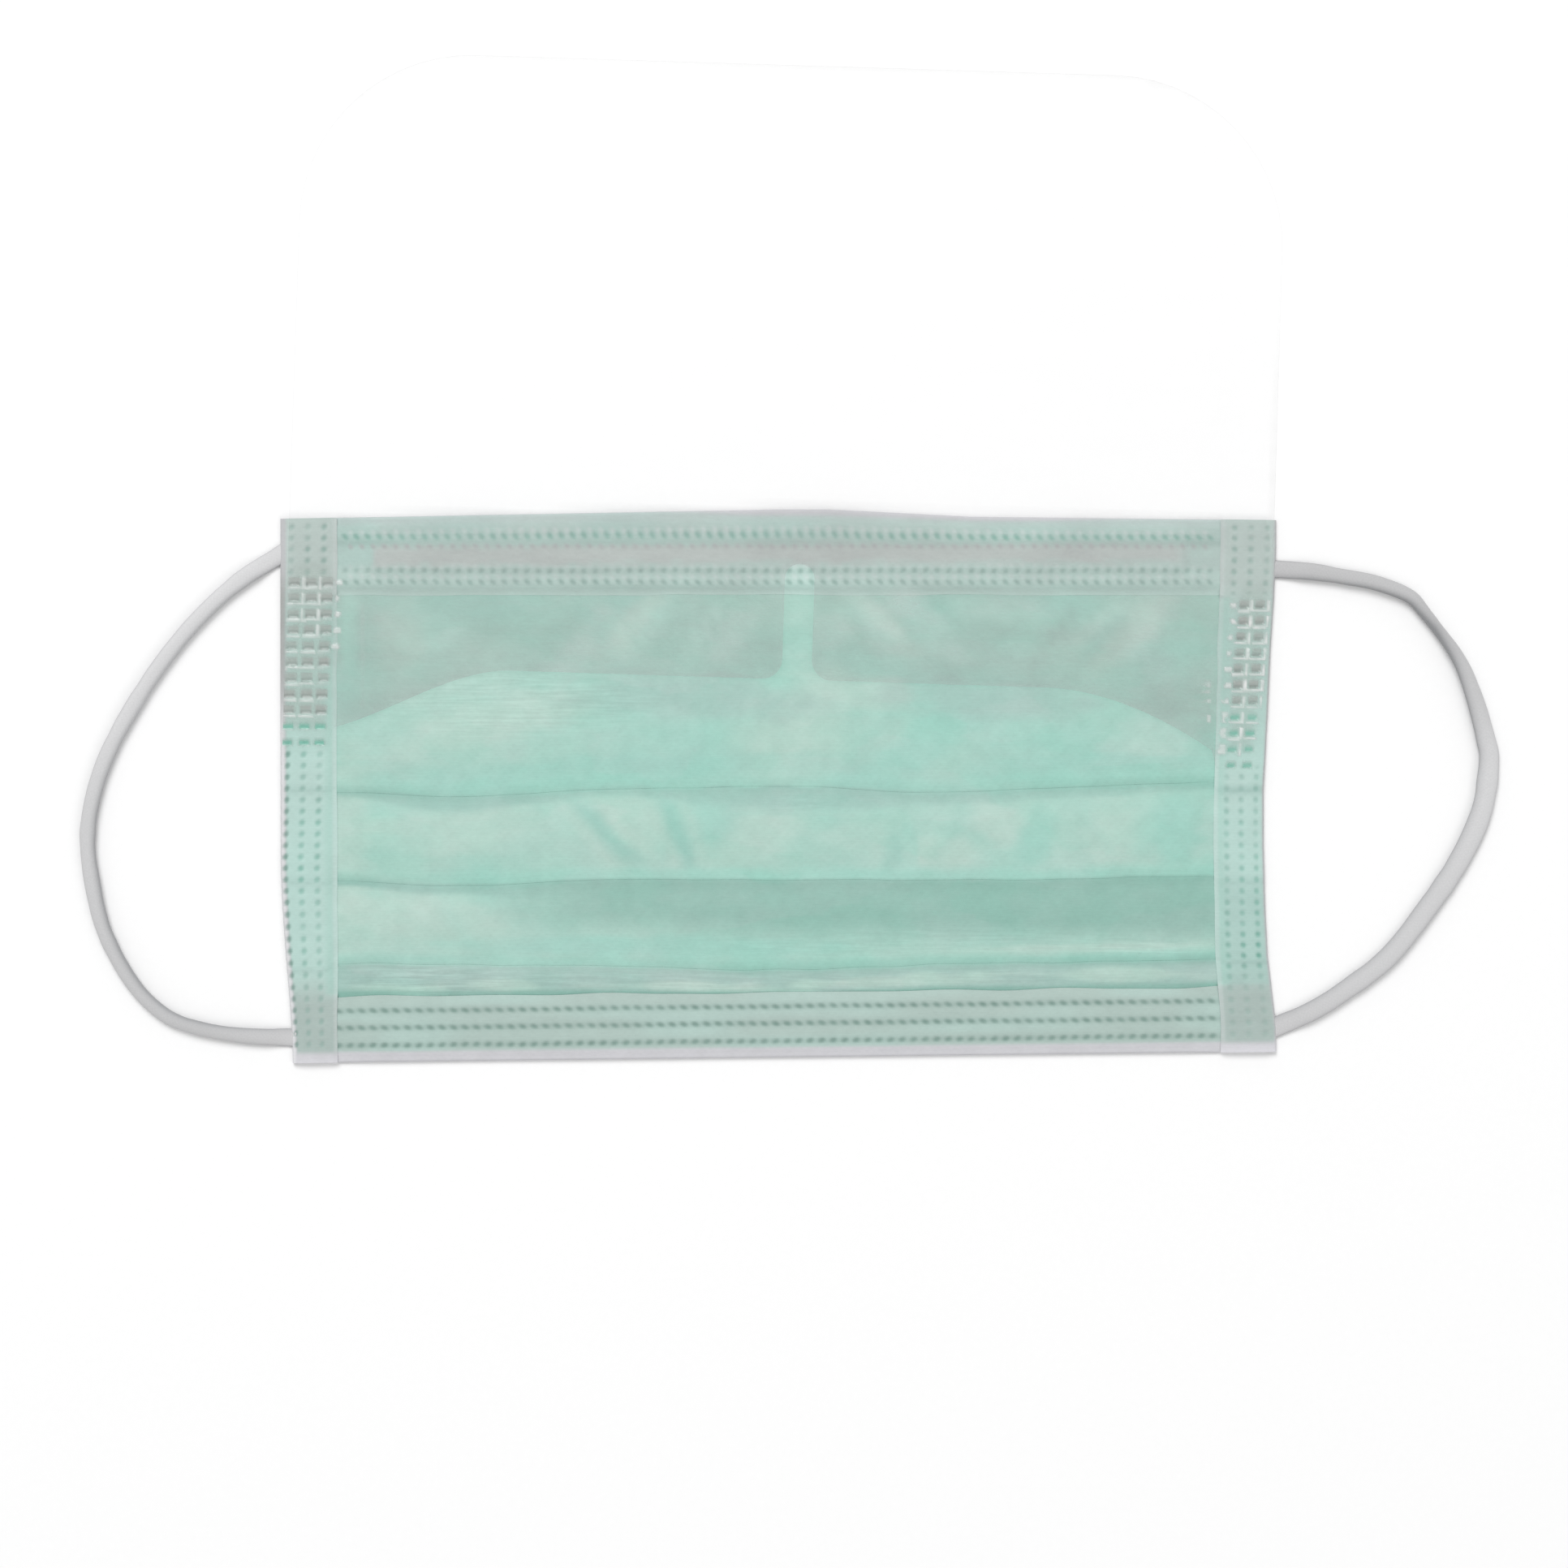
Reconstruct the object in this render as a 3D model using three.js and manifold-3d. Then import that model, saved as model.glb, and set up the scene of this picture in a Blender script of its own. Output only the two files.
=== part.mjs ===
// A pleated face mask with a clear visor, lying flat with its front side up.
// Millimetres. +X is to the right of the mask's front, +Y towards its nose edge and +Z away from the
// surface that it lies on. The origin is on that surface, under the middle of the mask.
import * as THREE from 'three';
import { mergeVertices } from 'three/addons/utils/BufferGeometryUtils.js';
import Module from 'manifold-3d';

// Driving dimensions
const MASK = { width: 175, height: 95 };
const CLOTH = { thickness: 1.0, gap: 0.3 };
const HEMS = { upperFreeY: 33.9, lowerFreeY: -35.8 };
const WIRE = { leftX: -70.4, rightX: 70.6, middleY: 40.6, width: 4, thickness: 0.8 };
const BINDINGS = [
  { name: 'side_binding_left', side: -1, width: 10 },
  { name: 'side_binding_right', side: 1, width: 9.8 },
];
const VISOR = {
  thickness: 0.5, middleX: 3.2, lowerY: 19, turnDegrees: -1.8,
  leftReach: 89.8, rightReach: 82.9, rise: 108, cornerRadius: 30,
  flatReach: 46, shoulderDrop: 14.6,
  slotWidth: 5.2, slotHeight: 20.3, mouthRadius: 3.5, droopStart: 33,
};
const CORD = { diameter: 3.1, sides: 8, steps: 30, liftOffFloor: 0.1, riseNearEnds: [1, 0.28] };

// Each pleat: where its fold edge shows on the front, and how far the cloth is tucked back under it
const PLEATS = [
  { foldY: -0.1, depth: 10 },
  { foldY: -16.3, depth: 10 },
  { foldY: -30.9, depth: 9 },
];

// The outline as it lies: the nose edge peaks, the right side is pulled in, the lower left corner slants
const OUTLINE = {
  peak: 1.8, peakX: 4, peakFromY: 43,
  rightPullIn: 2.2, pullFromX: 66, pullTopY: 36, pullMiddleTopY: 0, pullMiddleLowY: -10, pullLowY: -42,
  leftSlant: 2.5, slantFromX: 77, slantFromY: -11,
  lowerTilt: 1.1, tiltFromY: -20, tiltToY: -34,
};

// The ear loops' middle lines, from the upper end to the lower end, as X and Y on the floor
const EAR_LOOPS = [
  {
    name: 'ear_loop_left',
    route: [
      [-88.7, 40.2], [-93.9, 36.9], [-99.6, 32.1], [-105.3, 25.9], [-111.0, 18.1], [-116.7, 8.3],
      [-119.9, 0.1], [-121.3, -8.4], [-120.4, -17.0], [-118.2, -25.5], [-113.5, -34.1], [-108.2, -39.5],
      [-102.5, -42.0], [-93.9, -43.5], [-85.6, -43.8],
    ],
  },
  {
    name: 'ear_loop_right',
    route: [
      [88.0, 38.4], [93.5, 38.0], [99.2, 37.1], [104.9, 36.0], [110.6, 33.8], [113.4, 30.9], [119.1, 23.2],
      [122.0, 16.5], [124.2, 8.7], [124.8, 4.4], [123.5, -4.1], [119.6, -12.7], [113.9, -21.2],
      [107.0, -29.8], [99.2, -35.8], [93.5, -39.3], [88.5, -41.5],
    ],
  },
];

// Heights of the three stacked cloth layers, and of the strips that enclose them
const LAYER_PITCH = CLOTH.thickness + CLOTH.gap;
const LOW = CLOTH.thickness / 2;
const MID = LOW + LAYER_PITCH;
const HIGH = MID + LAYER_PITCH;
const STACK_TOP = HIGH + CLOTH.thickness / 2;
const OVER_WIRE = HIGH + CLOTH.gap + WIRE.thickness;
const BINDING_FRONT = OVER_WIRE;
const VISOR_UNDERSIDE = OVER_WIRE + CLOTH.thickness / 2 + CLOTH.gap;

// Along the side edges the stack is pressed together between the two walls of a binding
const PRESS = { fromX: 73, toX: 76.2, lift: LAYER_PITCH };
PRESS.keep = (BINDING_FRONT - CLOTH.thickness / 2 - CLOTH.gap - PRESS.lift) / STACK_TOP;

const HALF_WIDTH = MASK.width / 2;
const HALF_HEIGHT = MASK.height / 2;
// Where the bindings and the hems start to turn over the edges, which is where the panel ends
const CLOTH_REACH = HALF_WIDTH - (BINDING_FRONT - LOW + CLOTH.thickness) / 2;
const CLOTH_RISE = HALF_HEIGHT - (HIGH - LOW + CLOTH.thickness) / 2;
const TURN_STEPS = 6;
const RAMP_STEPS = 7;

const wasm = await Module();
wasm.setup();

// Shared maths

const clamp01 = (value) => Math.min(1, Math.max(0, value));
const ramp = (value, from, to) => clamp01((value - from) / (to - from));

function smooth(value, from, to) {
  const share = ramp(value, from, to);
  return share * share * (3 - 2 * share);
}

// Moves a point of the straight mask to where it lies in the real outline
function lieOf(x, y) {
  const pull = smooth(y, OUTLINE.pullTopY, OUTLINE.pullMiddleTopY)
    * smooth(y, OUTLINE.pullLowY, OUTLINE.pullMiddleLowY);
  const slant = smooth(y, OUTLINE.slantFromY, -HALF_HEIGHT);
  const rightShare = ramp(x, OUTLINE.pullFromX, HALF_WIDTH);
  const leftShare = ramp(-x, OUTLINE.slantFromX, HALF_WIDTH);
  const peakShare = 1 - Math.abs(x - OUTLINE.peakX) / (HALF_WIDTH + OUTLINE.peakX);
  const peak = OUTLINE.peak * clamp01(peakShare) * ramp(y, OUTLINE.peakFromY, HALF_HEIGHT);
  const tilt = OUTLINE.lowerTilt * (x / HALF_WIDTH) * ramp(y, OUTLINE.tiltFromY, OUTLINE.tiltToY);
  return {
    x: x - OUTLINE.rightPullIn * pull * rightShare + OUTLINE.leftSlant * slant * leftShare,
    y: y + peak + tilt,
  };
}

function lay(x, y, z) {
  const place = lieOf(x, y);
  return new THREE.Vector3(place.x, place.y, z);
}

function pressed(x, z) {
  const share = ramp(Math.abs(x), PRESS.fromX, PRESS.toX);
  return PRESS.lift * share + z * (1 - share * (1 - PRESS.keep));
}

// The middle line of a bent sheet, drawn as straight runs, eased ramps and half turns
class Centreline {
  constructor(run, height) {
    this.points = [new THREE.Vector2(run, height)];
  }

  get end() {
    return this.points[this.points.length - 1];
  }

  runTo(run) {
    this.points.push(new THREE.Vector2(run, this.end.y));
    return this;
  }

  easeTo(run, height, steps = RAMP_STEPS) {
    const start = this.end.clone();
    for (let step = 1; step <= steps; step += 1) {
      const share = step / steps;
      const rise = smooth(share, 0, 1);
      this.points.push(new THREE.Vector2(
        THREE.MathUtils.lerp(start.x, run, share),
        THREE.MathUtils.lerp(start.y, height, rise),
      ));
    }
    return this;
  }

  turnTo(height) {
    const start = this.end.clone();
    const heading = Math.sign(start.x - this.points[this.points.length - 2].x);
    const radius = Math.abs(height - start.y) / 2;
    const middle = (height + start.y) / 2;
    for (let step = 1; step <= TURN_STEPS; step += 1) {
      const angle = (Math.PI * step) / TURN_STEPS;
      this.points.push(new THREE.Vector2(
        start.x + heading * radius * Math.sin(angle),
        middle + (start.y - middle) * Math.cos(angle),
      ));
    }
    return this;
  }

  // The closed, counter-clockwise outline of a sheet of this thickness
  outline(thickness) {
    const last = this.points.length - 1;
    const offsets = this.points.map((point, i) => {
      const ahead = this.points[Math.min(i + 1, last)];
      const behind = this.points[Math.max(i - 1, 0)];
      const heading = ahead.clone().sub(behind).normalize();
      return new THREE.Vector2(-heading.y, heading.x).multiplyScalar(thickness / 2);
    });
    const oneSide = this.points.map((point, i) => point.clone().add(offsets[i]));
    const otherSide = this.points.map((point, i) => point.clone().sub(offsets[i]));
    const loop = [...oneSide, ...otherSide.reverse()];
    return THREE.ShapeUtils.isClockWise(loop) ? loop.reverse() : loop;
  }
}

// A closed solid through outlines with equal numbers of points, one for each station.
// The stations advance along the cross product of the outlines' two axes.
function loft(stations, outlineAt, toSpace) {
  const outlines = stations.map(outlineAt);
  const count = outlines[0].length;
  const vertices = outlines.flatMap((outline, i) => outline.map((point) => toSpace(stations[i], point)));
  const faces = [];
  for (let i = 0; i + 1 < stations.length; i += 1) {
    for (let j = 0; j < count; j += 1) {
      const here = i * count + j;
      const beside = i * count + ((j + 1) % count);
      faces.push(here, beside, beside + count, here, beside + count, here + count);
    }
  }
  addCap(faces, outlines[0], 0, true);
  addCap(faces, outlines[outlines.length - 1], (stations.length - 1) * count, false);

  const geometry = new THREE.BufferGeometry().setFromPoints(vertices);
  geometry.setIndex(faces);
  geometry.computeVertexNormals();
  return geometry;
}

function addCap(faces, outline, firstVertex, facesBack) {
  for (const [a, b, c] of THREE.ShapeUtils.triangulateShape(outline, [])) {
    const turnsBack = THREE.ShapeUtils.area([outline[a], outline[b], outline[c]]) < 0;
    const corners = turnsBack === facesBack ? [a, b, c] : [a, c, b];
    faces.push(...corners.map((corner) => firstVertex + corner));
  }
}

// Solids for cutting

function toSolid(geometry) {
  const bare = geometry.clone();
  bare.deleteAttribute('normal');
  bare.deleteAttribute('uv');
  const merged = mergeVertices(bare);
  return new wasm.Manifold(new wasm.Mesh({
    numProp: 3,
    vertProperties: new Float32Array(merged.attributes.position.array),
    triVerts: new Uint32Array(merged.index.array),
  }));
}

function toGeometry(solid) {
  const mesh = solid.getMesh();
  const geometry = new THREE.BufferGeometry();
  geometry.setAttribute('position', new THREE.BufferAttribute(mesh.vertProperties, mesh.numProp));
  geometry.setIndex(new THREE.BufferAttribute(mesh.triVerts, 1));
  geometry.computeVertexNormals();
  return geometry;
}

// Cloth pieces

const SIDE_STATIONS = [CLOTH_REACH, PRESS.toX, PRESS.fromX];
const CLOTH_STATIONS = [
  ...SIDE_STATIONS.map((x) => -x), 0, OUTLINE.peakX, ...[...SIDE_STATIONS].reverse(),
];

const layCloth = (x, point) => lay(x, point.x, pressed(x, point.y));

// The panel runs from the nose edge down, and goes back under itself at each pleat
function pleatedPanel() {
  const turnReach = LAYER_PITCH / 2 + CLOTH.thickness / 2;
  const line = new Centreline(CLOTH_RISE, MID).runTo(HEMS.upperFreeY);
  for (const { foldY, depth } of PLEATS) {
    line.easeTo(foldY + depth, HIGH)
      .runTo(foldY + turnReach).turnTo(MID)
      .runTo(foldY + depth - turnReach).turnTo(LOW)
      .runTo(foldY - CLOTH.gap);
  }
  line.easeTo(HEMS.lowerFreeY + CLOTH.gap, MID).runTo(-CLOTH_RISE);
  const outline = line.outline(CLOTH.thickness);
  return loft(CLOTH_STATIONS, () => outline, layCloth);
}

// The upper hem's front wall steps up over the nose wire, and closes down again past its ends
function upperHem() {
  const clear = CLOTH.gap + CLOTH.thickness / 2;
  const fade = 1.5;
  const overWire = [WIRE.leftX - CLOTH.gap, WIRE.rightX + CLOTH.gap];
  const stations = [...CLOTH_STATIONS, ...overWire, overWire[0] - fade, overWire[1] + fade];
  stations.sort((a, b) => a - b);

  const outlineAt = (x) => {
    const share = ramp(x, overWire[0] - fade, overWire[0]) * ramp(x, overWire[1] + fade, overWire[1]);
    const height = THREE.MathUtils.lerp(HIGH, OVER_WIRE, share);
    const wireLow = WIRE.middleY - WIRE.width / 2 - clear;
    const wireHigh = WIRE.middleY + WIRE.width / 2 + clear;
    return new Centreline(HEMS.upperFreeY, HIGH)
      .runTo(wireLow - fade).easeTo(wireLow, height)
      .runTo(wireHigh).easeTo(wireHigh + fade, HIGH)
      .runTo(CLOTH_RISE).turnTo(LOW)
      .runTo(HEMS.upperFreeY)
      .outline(CLOTH.thickness);
  };
  return loft(stations, outlineAt, layCloth);
}

function lowerHem() {
  const outline = new Centreline(HEMS.lowerFreeY, HIGH)
    .runTo(-CLOTH_RISE).turnTo(LOW)
    .runTo(HEMS.lowerFreeY)
    .outline(CLOTH.thickness);
  return loft(CLOTH_STATIONS, () => outline, layCloth);
}

// A binding is folded over a side edge of the pressed stack
function sideBinding({ side, width }) {
  const steps = 16;
  const stations = Array.from({ length: steps + 1 }, (_, i) => HALF_HEIGHT - (MASK.height * i) / steps);
  const inner = HALF_WIDTH - width;
  const outline = new Centreline(side * inner, BINDING_FRONT)
    .runTo(side * CLOTH_REACH).turnTo(LOW)
    .runTo(side * inner)
    .outline(CLOTH.thickness);
  return loft(stations, () => outline, (y, point) => lay(point.x, y, point.y));
}

// The nose wire is a flat strip with round ends
function noseWire() {
  const radius = WIRE.width / 2;
  const shape = new THREE.Shape();
  shape.absarc(WIRE.leftX + radius, WIRE.middleY, radius, Math.PI / 2, (3 * Math.PI) / 2);
  shape.absarc(WIRE.rightX - radius, WIRE.middleY, radius, -Math.PI / 2, Math.PI / 2);
  const strip = new THREE.ExtrudeGeometry(shape, {
    depth: WIRE.thickness, bevelEnabled: false, curveSegments: TURN_STEPS,
  });
  return strip.translate(0, 0, HIGH - CLOTH.thickness / 2);
}

// Visor

// The film's outline, from the middle of its lower edge: a nose slot, lowered sides and round top corners
function visorShape() {
  const { leftReach, rightReach, rise, cornerRadius, flatReach, shoulderDrop, mouthRadius } = VISOR;
  const slotHalf = VISOR.slotWidth / 2;
  const slotRoundY = VISOR.slotHeight - slotHalf;
  const mouthX = slotHalf + mouthRadius;
  const leftThird = (leftReach - flatReach) / 3;
  const rightThird = (rightReach - flatReach) / 3;
  const quarter = Math.PI / 2;

  const shape = new THREE.Shape();
  shape.moveTo(-leftReach, -shoulderDrop);
  shape.bezierCurveTo(leftThird - leftReach, -shoulderDrop, -flatReach - leftThird, 0, -flatReach, 0);
  shape.absarc(-mouthX, mouthRadius, mouthRadius, -quarter, 0, false);
  shape.absarc(0, slotRoundY, slotHalf, 2 * quarter, 0, true);
  shape.absarc(mouthX, mouthRadius, mouthRadius, 2 * quarter, 3 * quarter, false);
  shape.lineTo(flatReach, 0);
  shape.bezierCurveTo(
    flatReach + rightThird, 0, rightReach - rightThird, -shoulderDrop, rightReach, -shoulderDrop,
  );
  shape.absarc(rightReach - cornerRadius, rise - cornerRadius, cornerRadius, 0, quarter, false);
  shape.absarc(cornerRadius - leftReach, rise - cornerRadius, cornerRadius, quarter, 2 * quarter, false);
  return shape;
}

// The film lies on the bindings and on the wire's ridge, and past the nose edge it droops to the floor
function visorFilm() {
  const margin = 10;
  const droopSteps = 16;
  const halfFilm = VISOR.thickness / 2;
  const bend = new Centreline(-VISOR.shoulderDrop - margin, VISOR_UNDERSIDE + halfFilm)
    .runTo(VISOR.droopStart)
    .easeTo(VISOR.rise, halfFilm, droopSteps)
    .runTo(VISOR.rise + margin)
    .outline(VISOR.thickness);
  const ends = [-VISOR.leftReach - margin, VISOR.rightReach + margin];
  const sheet = loft(ends, () => bend, (x, point) => new THREE.Vector3(x, point.x, point.y));

  const cutterHeight = 2 * VISOR_UNDERSIDE + margin;
  const cutter = new THREE.ExtrudeGeometry(visorShape(), {
    depth: cutterHeight, bevelEnabled: false, curveSegments: 2 * TURN_STEPS,
  });
  cutter.translate(0, 0, -margin / 2);
  return toGeometry(toSolid(sheet).intersect(toSolid(cutter)));
}

// Ear loops

// A limp elastic on the floor, whose two ends rise to the middle of the binding's edge
function earLoop({ route }) {
  const floorZ = CORD.diameter / 2 + CORD.liftOffFloor;
  const edgeZ = (BINDING_FRONT + LOW) / 2;
  const last = route.length - 1;
  const points = route.map(([x, y], i) => {
    const rise = CORD.riseNearEnds[Math.min(i, last - i)] ?? 0;
    return new THREE.Vector3(x, y, THREE.MathUtils.lerp(floorZ, edgeZ, rise));
  });
  const corners = Array.from({ length: CORD.sides }, (_, i) => {
    const angle = (2 * Math.PI * (i + 0.5)) / CORD.sides;
    return new THREE.Vector2(Math.cos(angle), Math.sin(angle)).multiplyScalar(CORD.diameter / 2);
  });
  return new THREE.ExtrudeGeometry(new THREE.Shape(corners), {
    extrudePath: new THREE.CatmullRomCurve3(points), steps: CORD.steps, bevelEnabled: false,
  });
}

// Assembly

const finish = (color, roughness, extra = {}) => new THREE.MeshStandardMaterial({
  color, roughness, metalness: 0, ...extra,
});
const mintCloth = finish(0xadd3c8, 0.9);
const whiteCloth = finish(0xc8cdcd, 0.9);
const wirePlastic = finish(0xd8d8d8, 0.5);
const clearFilm = finish(0xe4eae8, 0.12, { transparent: true, opacity: 0.35 });
const elastic = finish(0xcdcdcd, 0.85);

function named(name, geometry, material) {
  const mesh = new THREE.Mesh(geometry, material);
  mesh.name = name;
  return mesh;
}

const mask = new THREE.Group();
mask.add(named('pleated_panel', pleatedPanel(), mintCloth));
mask.add(named('upper_hem', upperHem(), whiteCloth));
mask.add(named('lower_hem', lowerHem(), whiteCloth));
mask.add(named('nose_wire', noseWire(), wirePlastic));
for (const binding of BINDINGS) {
  mask.add(named(binding.name, sideBinding(binding), whiteCloth));
}

const visor = named('visor', visorFilm(), clearFilm);
visor.position.set(VISOR.middleX, VISOR.lowerY, 0);
visor.rotation.z = THREE.MathUtils.degToRad(VISOR.turnDegrees);
mask.add(visor);

for (const loop of EAR_LOOPS) {
  mask.add(named(loop.name, earLoop(loop), elastic));
}

export default mask;
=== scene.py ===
"""The looks of a pleated face mask with a clear visor, lying flat. Sizes in the script are millimetres."""

import math
from types import SimpleNamespace as Named

import bpy
import numpy as np
from mathutils.geometry import delaunay_2d_cdt
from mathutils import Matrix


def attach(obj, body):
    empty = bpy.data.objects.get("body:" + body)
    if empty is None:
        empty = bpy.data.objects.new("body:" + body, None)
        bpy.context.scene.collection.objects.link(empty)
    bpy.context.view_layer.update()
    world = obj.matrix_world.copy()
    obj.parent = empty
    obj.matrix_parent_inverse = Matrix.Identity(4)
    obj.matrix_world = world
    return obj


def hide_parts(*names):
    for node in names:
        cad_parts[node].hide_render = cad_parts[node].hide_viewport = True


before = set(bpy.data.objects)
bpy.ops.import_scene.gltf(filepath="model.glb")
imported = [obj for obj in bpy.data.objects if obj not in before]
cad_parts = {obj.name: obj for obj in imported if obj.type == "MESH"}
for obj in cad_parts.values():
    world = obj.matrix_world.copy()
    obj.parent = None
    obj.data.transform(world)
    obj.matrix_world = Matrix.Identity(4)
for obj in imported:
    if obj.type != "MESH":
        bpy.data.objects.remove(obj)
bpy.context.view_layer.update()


def rows(columns, *table):
    """A table as a list of rows, each with the columns' names."""
    names = columns.split()
    return [Named(**dict(zip(names, row))) for row in table]


MM = 0.001
BODY = "root"

# Driving sizes, as in the solids
HALF_WIDTH = 87.5
HALF_HEIGHT = 47.5
UPPER_FREE_Y = 33.9
LOWER_FREE_Y = -35.8
WIRE = Named(left_x=-70.4, right_x=70.6, middle_y=40.6, width=4.0)
BINDING_WIDTH = {"side_binding_left": 10.0, "side_binding_right": 9.8}
VISOR = Named(
    middle_x=3.2, lower_y=19.0, turn=math.radians(-1.8), left_reach=89.8, right_reach=82.9, rise=108.0,
    corner_radius=30.0, corner_drop=14.6, slot_width=5.2, slot_height=20.3, mouth_radius=3.5,
    droop_start=33.0,
)
# Where the real outline lies beside the straight mask: the rise of its nose edge, how far its right side is
# pulled in, the slant of its lower left side, and the tilt and the rise of its lower part
OUTLINE = Named(
    top_x=[-87.5, 0.0, 9.0, 34.0, 87.5], top_rise=[-0.2, 1.45, 1.45, 0.17, -0.44], top_from_y=43.0,
    right_pull_in=2.2, pull_from_x=66.0,
    pull_y=[-43.0, -35.0, -30.0, -21.0, -10.0, 0.0, 13.0, 24.0, 33.0, 42.0],
    pull=[0.0, 0.42, 0.69, 0.87, 1.0, 1.0, 0.69, 0.46, 0.19, 0.0],
    left_slant=2.2, slant_from_x=77.0, slant_y=(-12.0, -50.0),
    lower_tilt=1.0, tilt_y=(-20.0, -34.0), lower_rise=0.16, rise_from_y=-44.5,
)

# Walls of the real, thinner cloth and film, and the middle heights of the layers, the strips and the film
PANEL_WALL = 0.2
STRIP_WALL = 0.25
FILM_WALL = 0.22
LOW = 0.22
MID = 0.66
HIGH = 1.1
STRIP_LOW = 0.14
STRIP_TURN = 0.85
STRIP_TURN_REACH = 0.48
LOWEST = STRIP_WALL / 4
HEM_FRONT = 1.12
OVER_WIRE = 1.62
BINDING_FRONT = 1.08
FILM_MIDDLE_Z = 2.05
FILM_SIDE_Z = 1.66
PRESS = Named(across=(71.0, 77.5), lift=0.3, keep=0.45)
PANEL_REACH = 85.6
PANEL_RISE = 45.9

# Smooth noises: the sizes of their cells across and up, and their seeds
NOISES = dict(
    loop_width=(2.5, 1.0, 5), crease_sway=(6.0, 6.0, 31), broad_rumple=(24.0, 13.0, 3),
    middle_rumple=(9.0, 6.0, 4), fine_rumple=(4.0, 2.4, 6), fold_stray=(7.0, 1.0, 9),
    fold_lift=(11.0, 1.0, 12), panel_clouds=(13.0, 8.0, 15), ragged_patch=(5.0, 3.0, 18),
    ragged_line=(14.0, 0.8, 19), row_stray=(9.0, 1.0, 21), row_strength=(5.0, 1.0, 20),
    upper_hem_puff=(12.0, 4.0, 22), upper_clouds=(14.0, 3.5, 14), wire_fuzz=(2.0, 1.0, 13),
    upper_hem_edge=(6.0, 1.0, 27), hem_drop=(7.0, 3.0, 23), lower_hem_puff=(11.0, 3.0, 24),
    lower_clouds=(16.0, 3.0, 11), lower_rows=(3.0, 1.0, 17), lower_hem_edge=(10.0, 1.0, 28),
    binding_clouds=(5.0, 7.0, 29), binding_dots=(2.5, 3.0, 38), binding_puff=(4.0, 6.0, 25),
    binding_edge=(5.0, 1.0, 26), cell_shift=(1.0, 1.0, 41), ridge_strength=(0.9, 0.9, 42),
    blob_edge=(0.8, 0.8, 46), line_gaps=(8.0, 0.7, 43), film_wave=(40.0, 30.0, 44),
    film_haze=(26.0, 9.0, 45), smear_edge=(4.0, 4.0, 47),
)
NOISE_SIZE = 128


# Shared maths

def ramp(value, start, end):
    return np.clip((value - start) / (end - start), 0.0, 1.0)


def smooth(value, start, end):
    share = ramp(value, start, end)
    return share * share * (3.0 - 2.0 * share)


def bell(off, reach):
    """A soft hill, which is 1 in its middle."""
    return np.exp(-(off / reach) ** 2)


def mix(a, b, share):
    return a + (b - a) * share


def noise(name, x, y=0.0):
    """Smooth seeded noise from -1 to 1."""
    cell_x, cell_y, seed = NOISES[name]
    size = NOISE_SIZE
    table = np.random.default_rng(seed).uniform(-1.0, 1.0, (size, size))
    u, v = np.broadcast_arrays(x / cell_x + size / 2, y / cell_y + size / 2)
    i, j = np.floor(u).astype(int), np.floor(v).astype(int)
    share_u, share_v = smooth(u - i, 0.0, 1.0), smooth(v - j, 0.0, 1.0)
    here = mix(table[i % size, j % size], table[(i + 1) % size, j % size], share_u)
    above = mix(table[i % size, (j + 1) % size], table[(i + 1) % size, (j + 1) % size], share_u)
    return mix(here, above, share_v)


def lie(x, y):
    """Moves points of the straight mask to where they lie in the real outline."""
    pull = OUTLINE.right_pull_in * np.interp(y, OUTLINE.pull_y, OUTLINE.pull)
    pull = pull * ramp(x, OUTLINE.pull_from_x, HALF_WIDTH)
    slant = OUTLINE.left_slant * smooth(y, *OUTLINE.slant_y) * ramp(-x, OUTLINE.slant_from_x, HALF_WIDTH)
    rise = np.interp(x, OUTLINE.top_x, OUTLINE.top_rise) * ramp(y, OUTLINE.top_from_y, HALF_HEIGHT)
    rise = rise + OUTLINE.lower_rise * ramp(y, OUTLINE.rise_from_y, -HALF_HEIGHT)
    tilt = OUTLINE.lower_tilt * (x / HALF_WIDTH) * ramp(y, *OUTLINE.tilt_y)
    return x - pull + slant, y + rise + tilt


def laid(x, y, z):
    """Points of the straight mask, laid in the real outline."""
    return np.stack([*lie(x, y), z], axis=-1)


def waver(x, places, values):
    """Values at some places, joined smoothly."""
    places, values = np.array(places, float), np.array(values, float)
    at = np.clip(np.searchsorted(places, x) - 1, 0, len(places) - 2)
    return mix(values[at], values[at + 1], smooth(x, places[at], places[at + 1]))


def press_share(x):
    return smooth(np.abs(x), *PRESS.across)


def squeeze(x):
    """How much of its height the stack keeps between the two walls of a binding."""
    return mix(1.0, PRESS.keep, press_share(x))


def pressed(x, z):
    """The height of a point of the stack, which is pressed together in the bindings."""
    return PRESS.lift * press_share(x) + z * squeeze(x)


def paint(tint, *coats):
    """Lays coats over a tint, each a colour with its share from 0 to 1."""
    for coat, share in coats:
        tint = tint + (coat - tint) * np.asarray(share)[..., None]
    return tint


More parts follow.
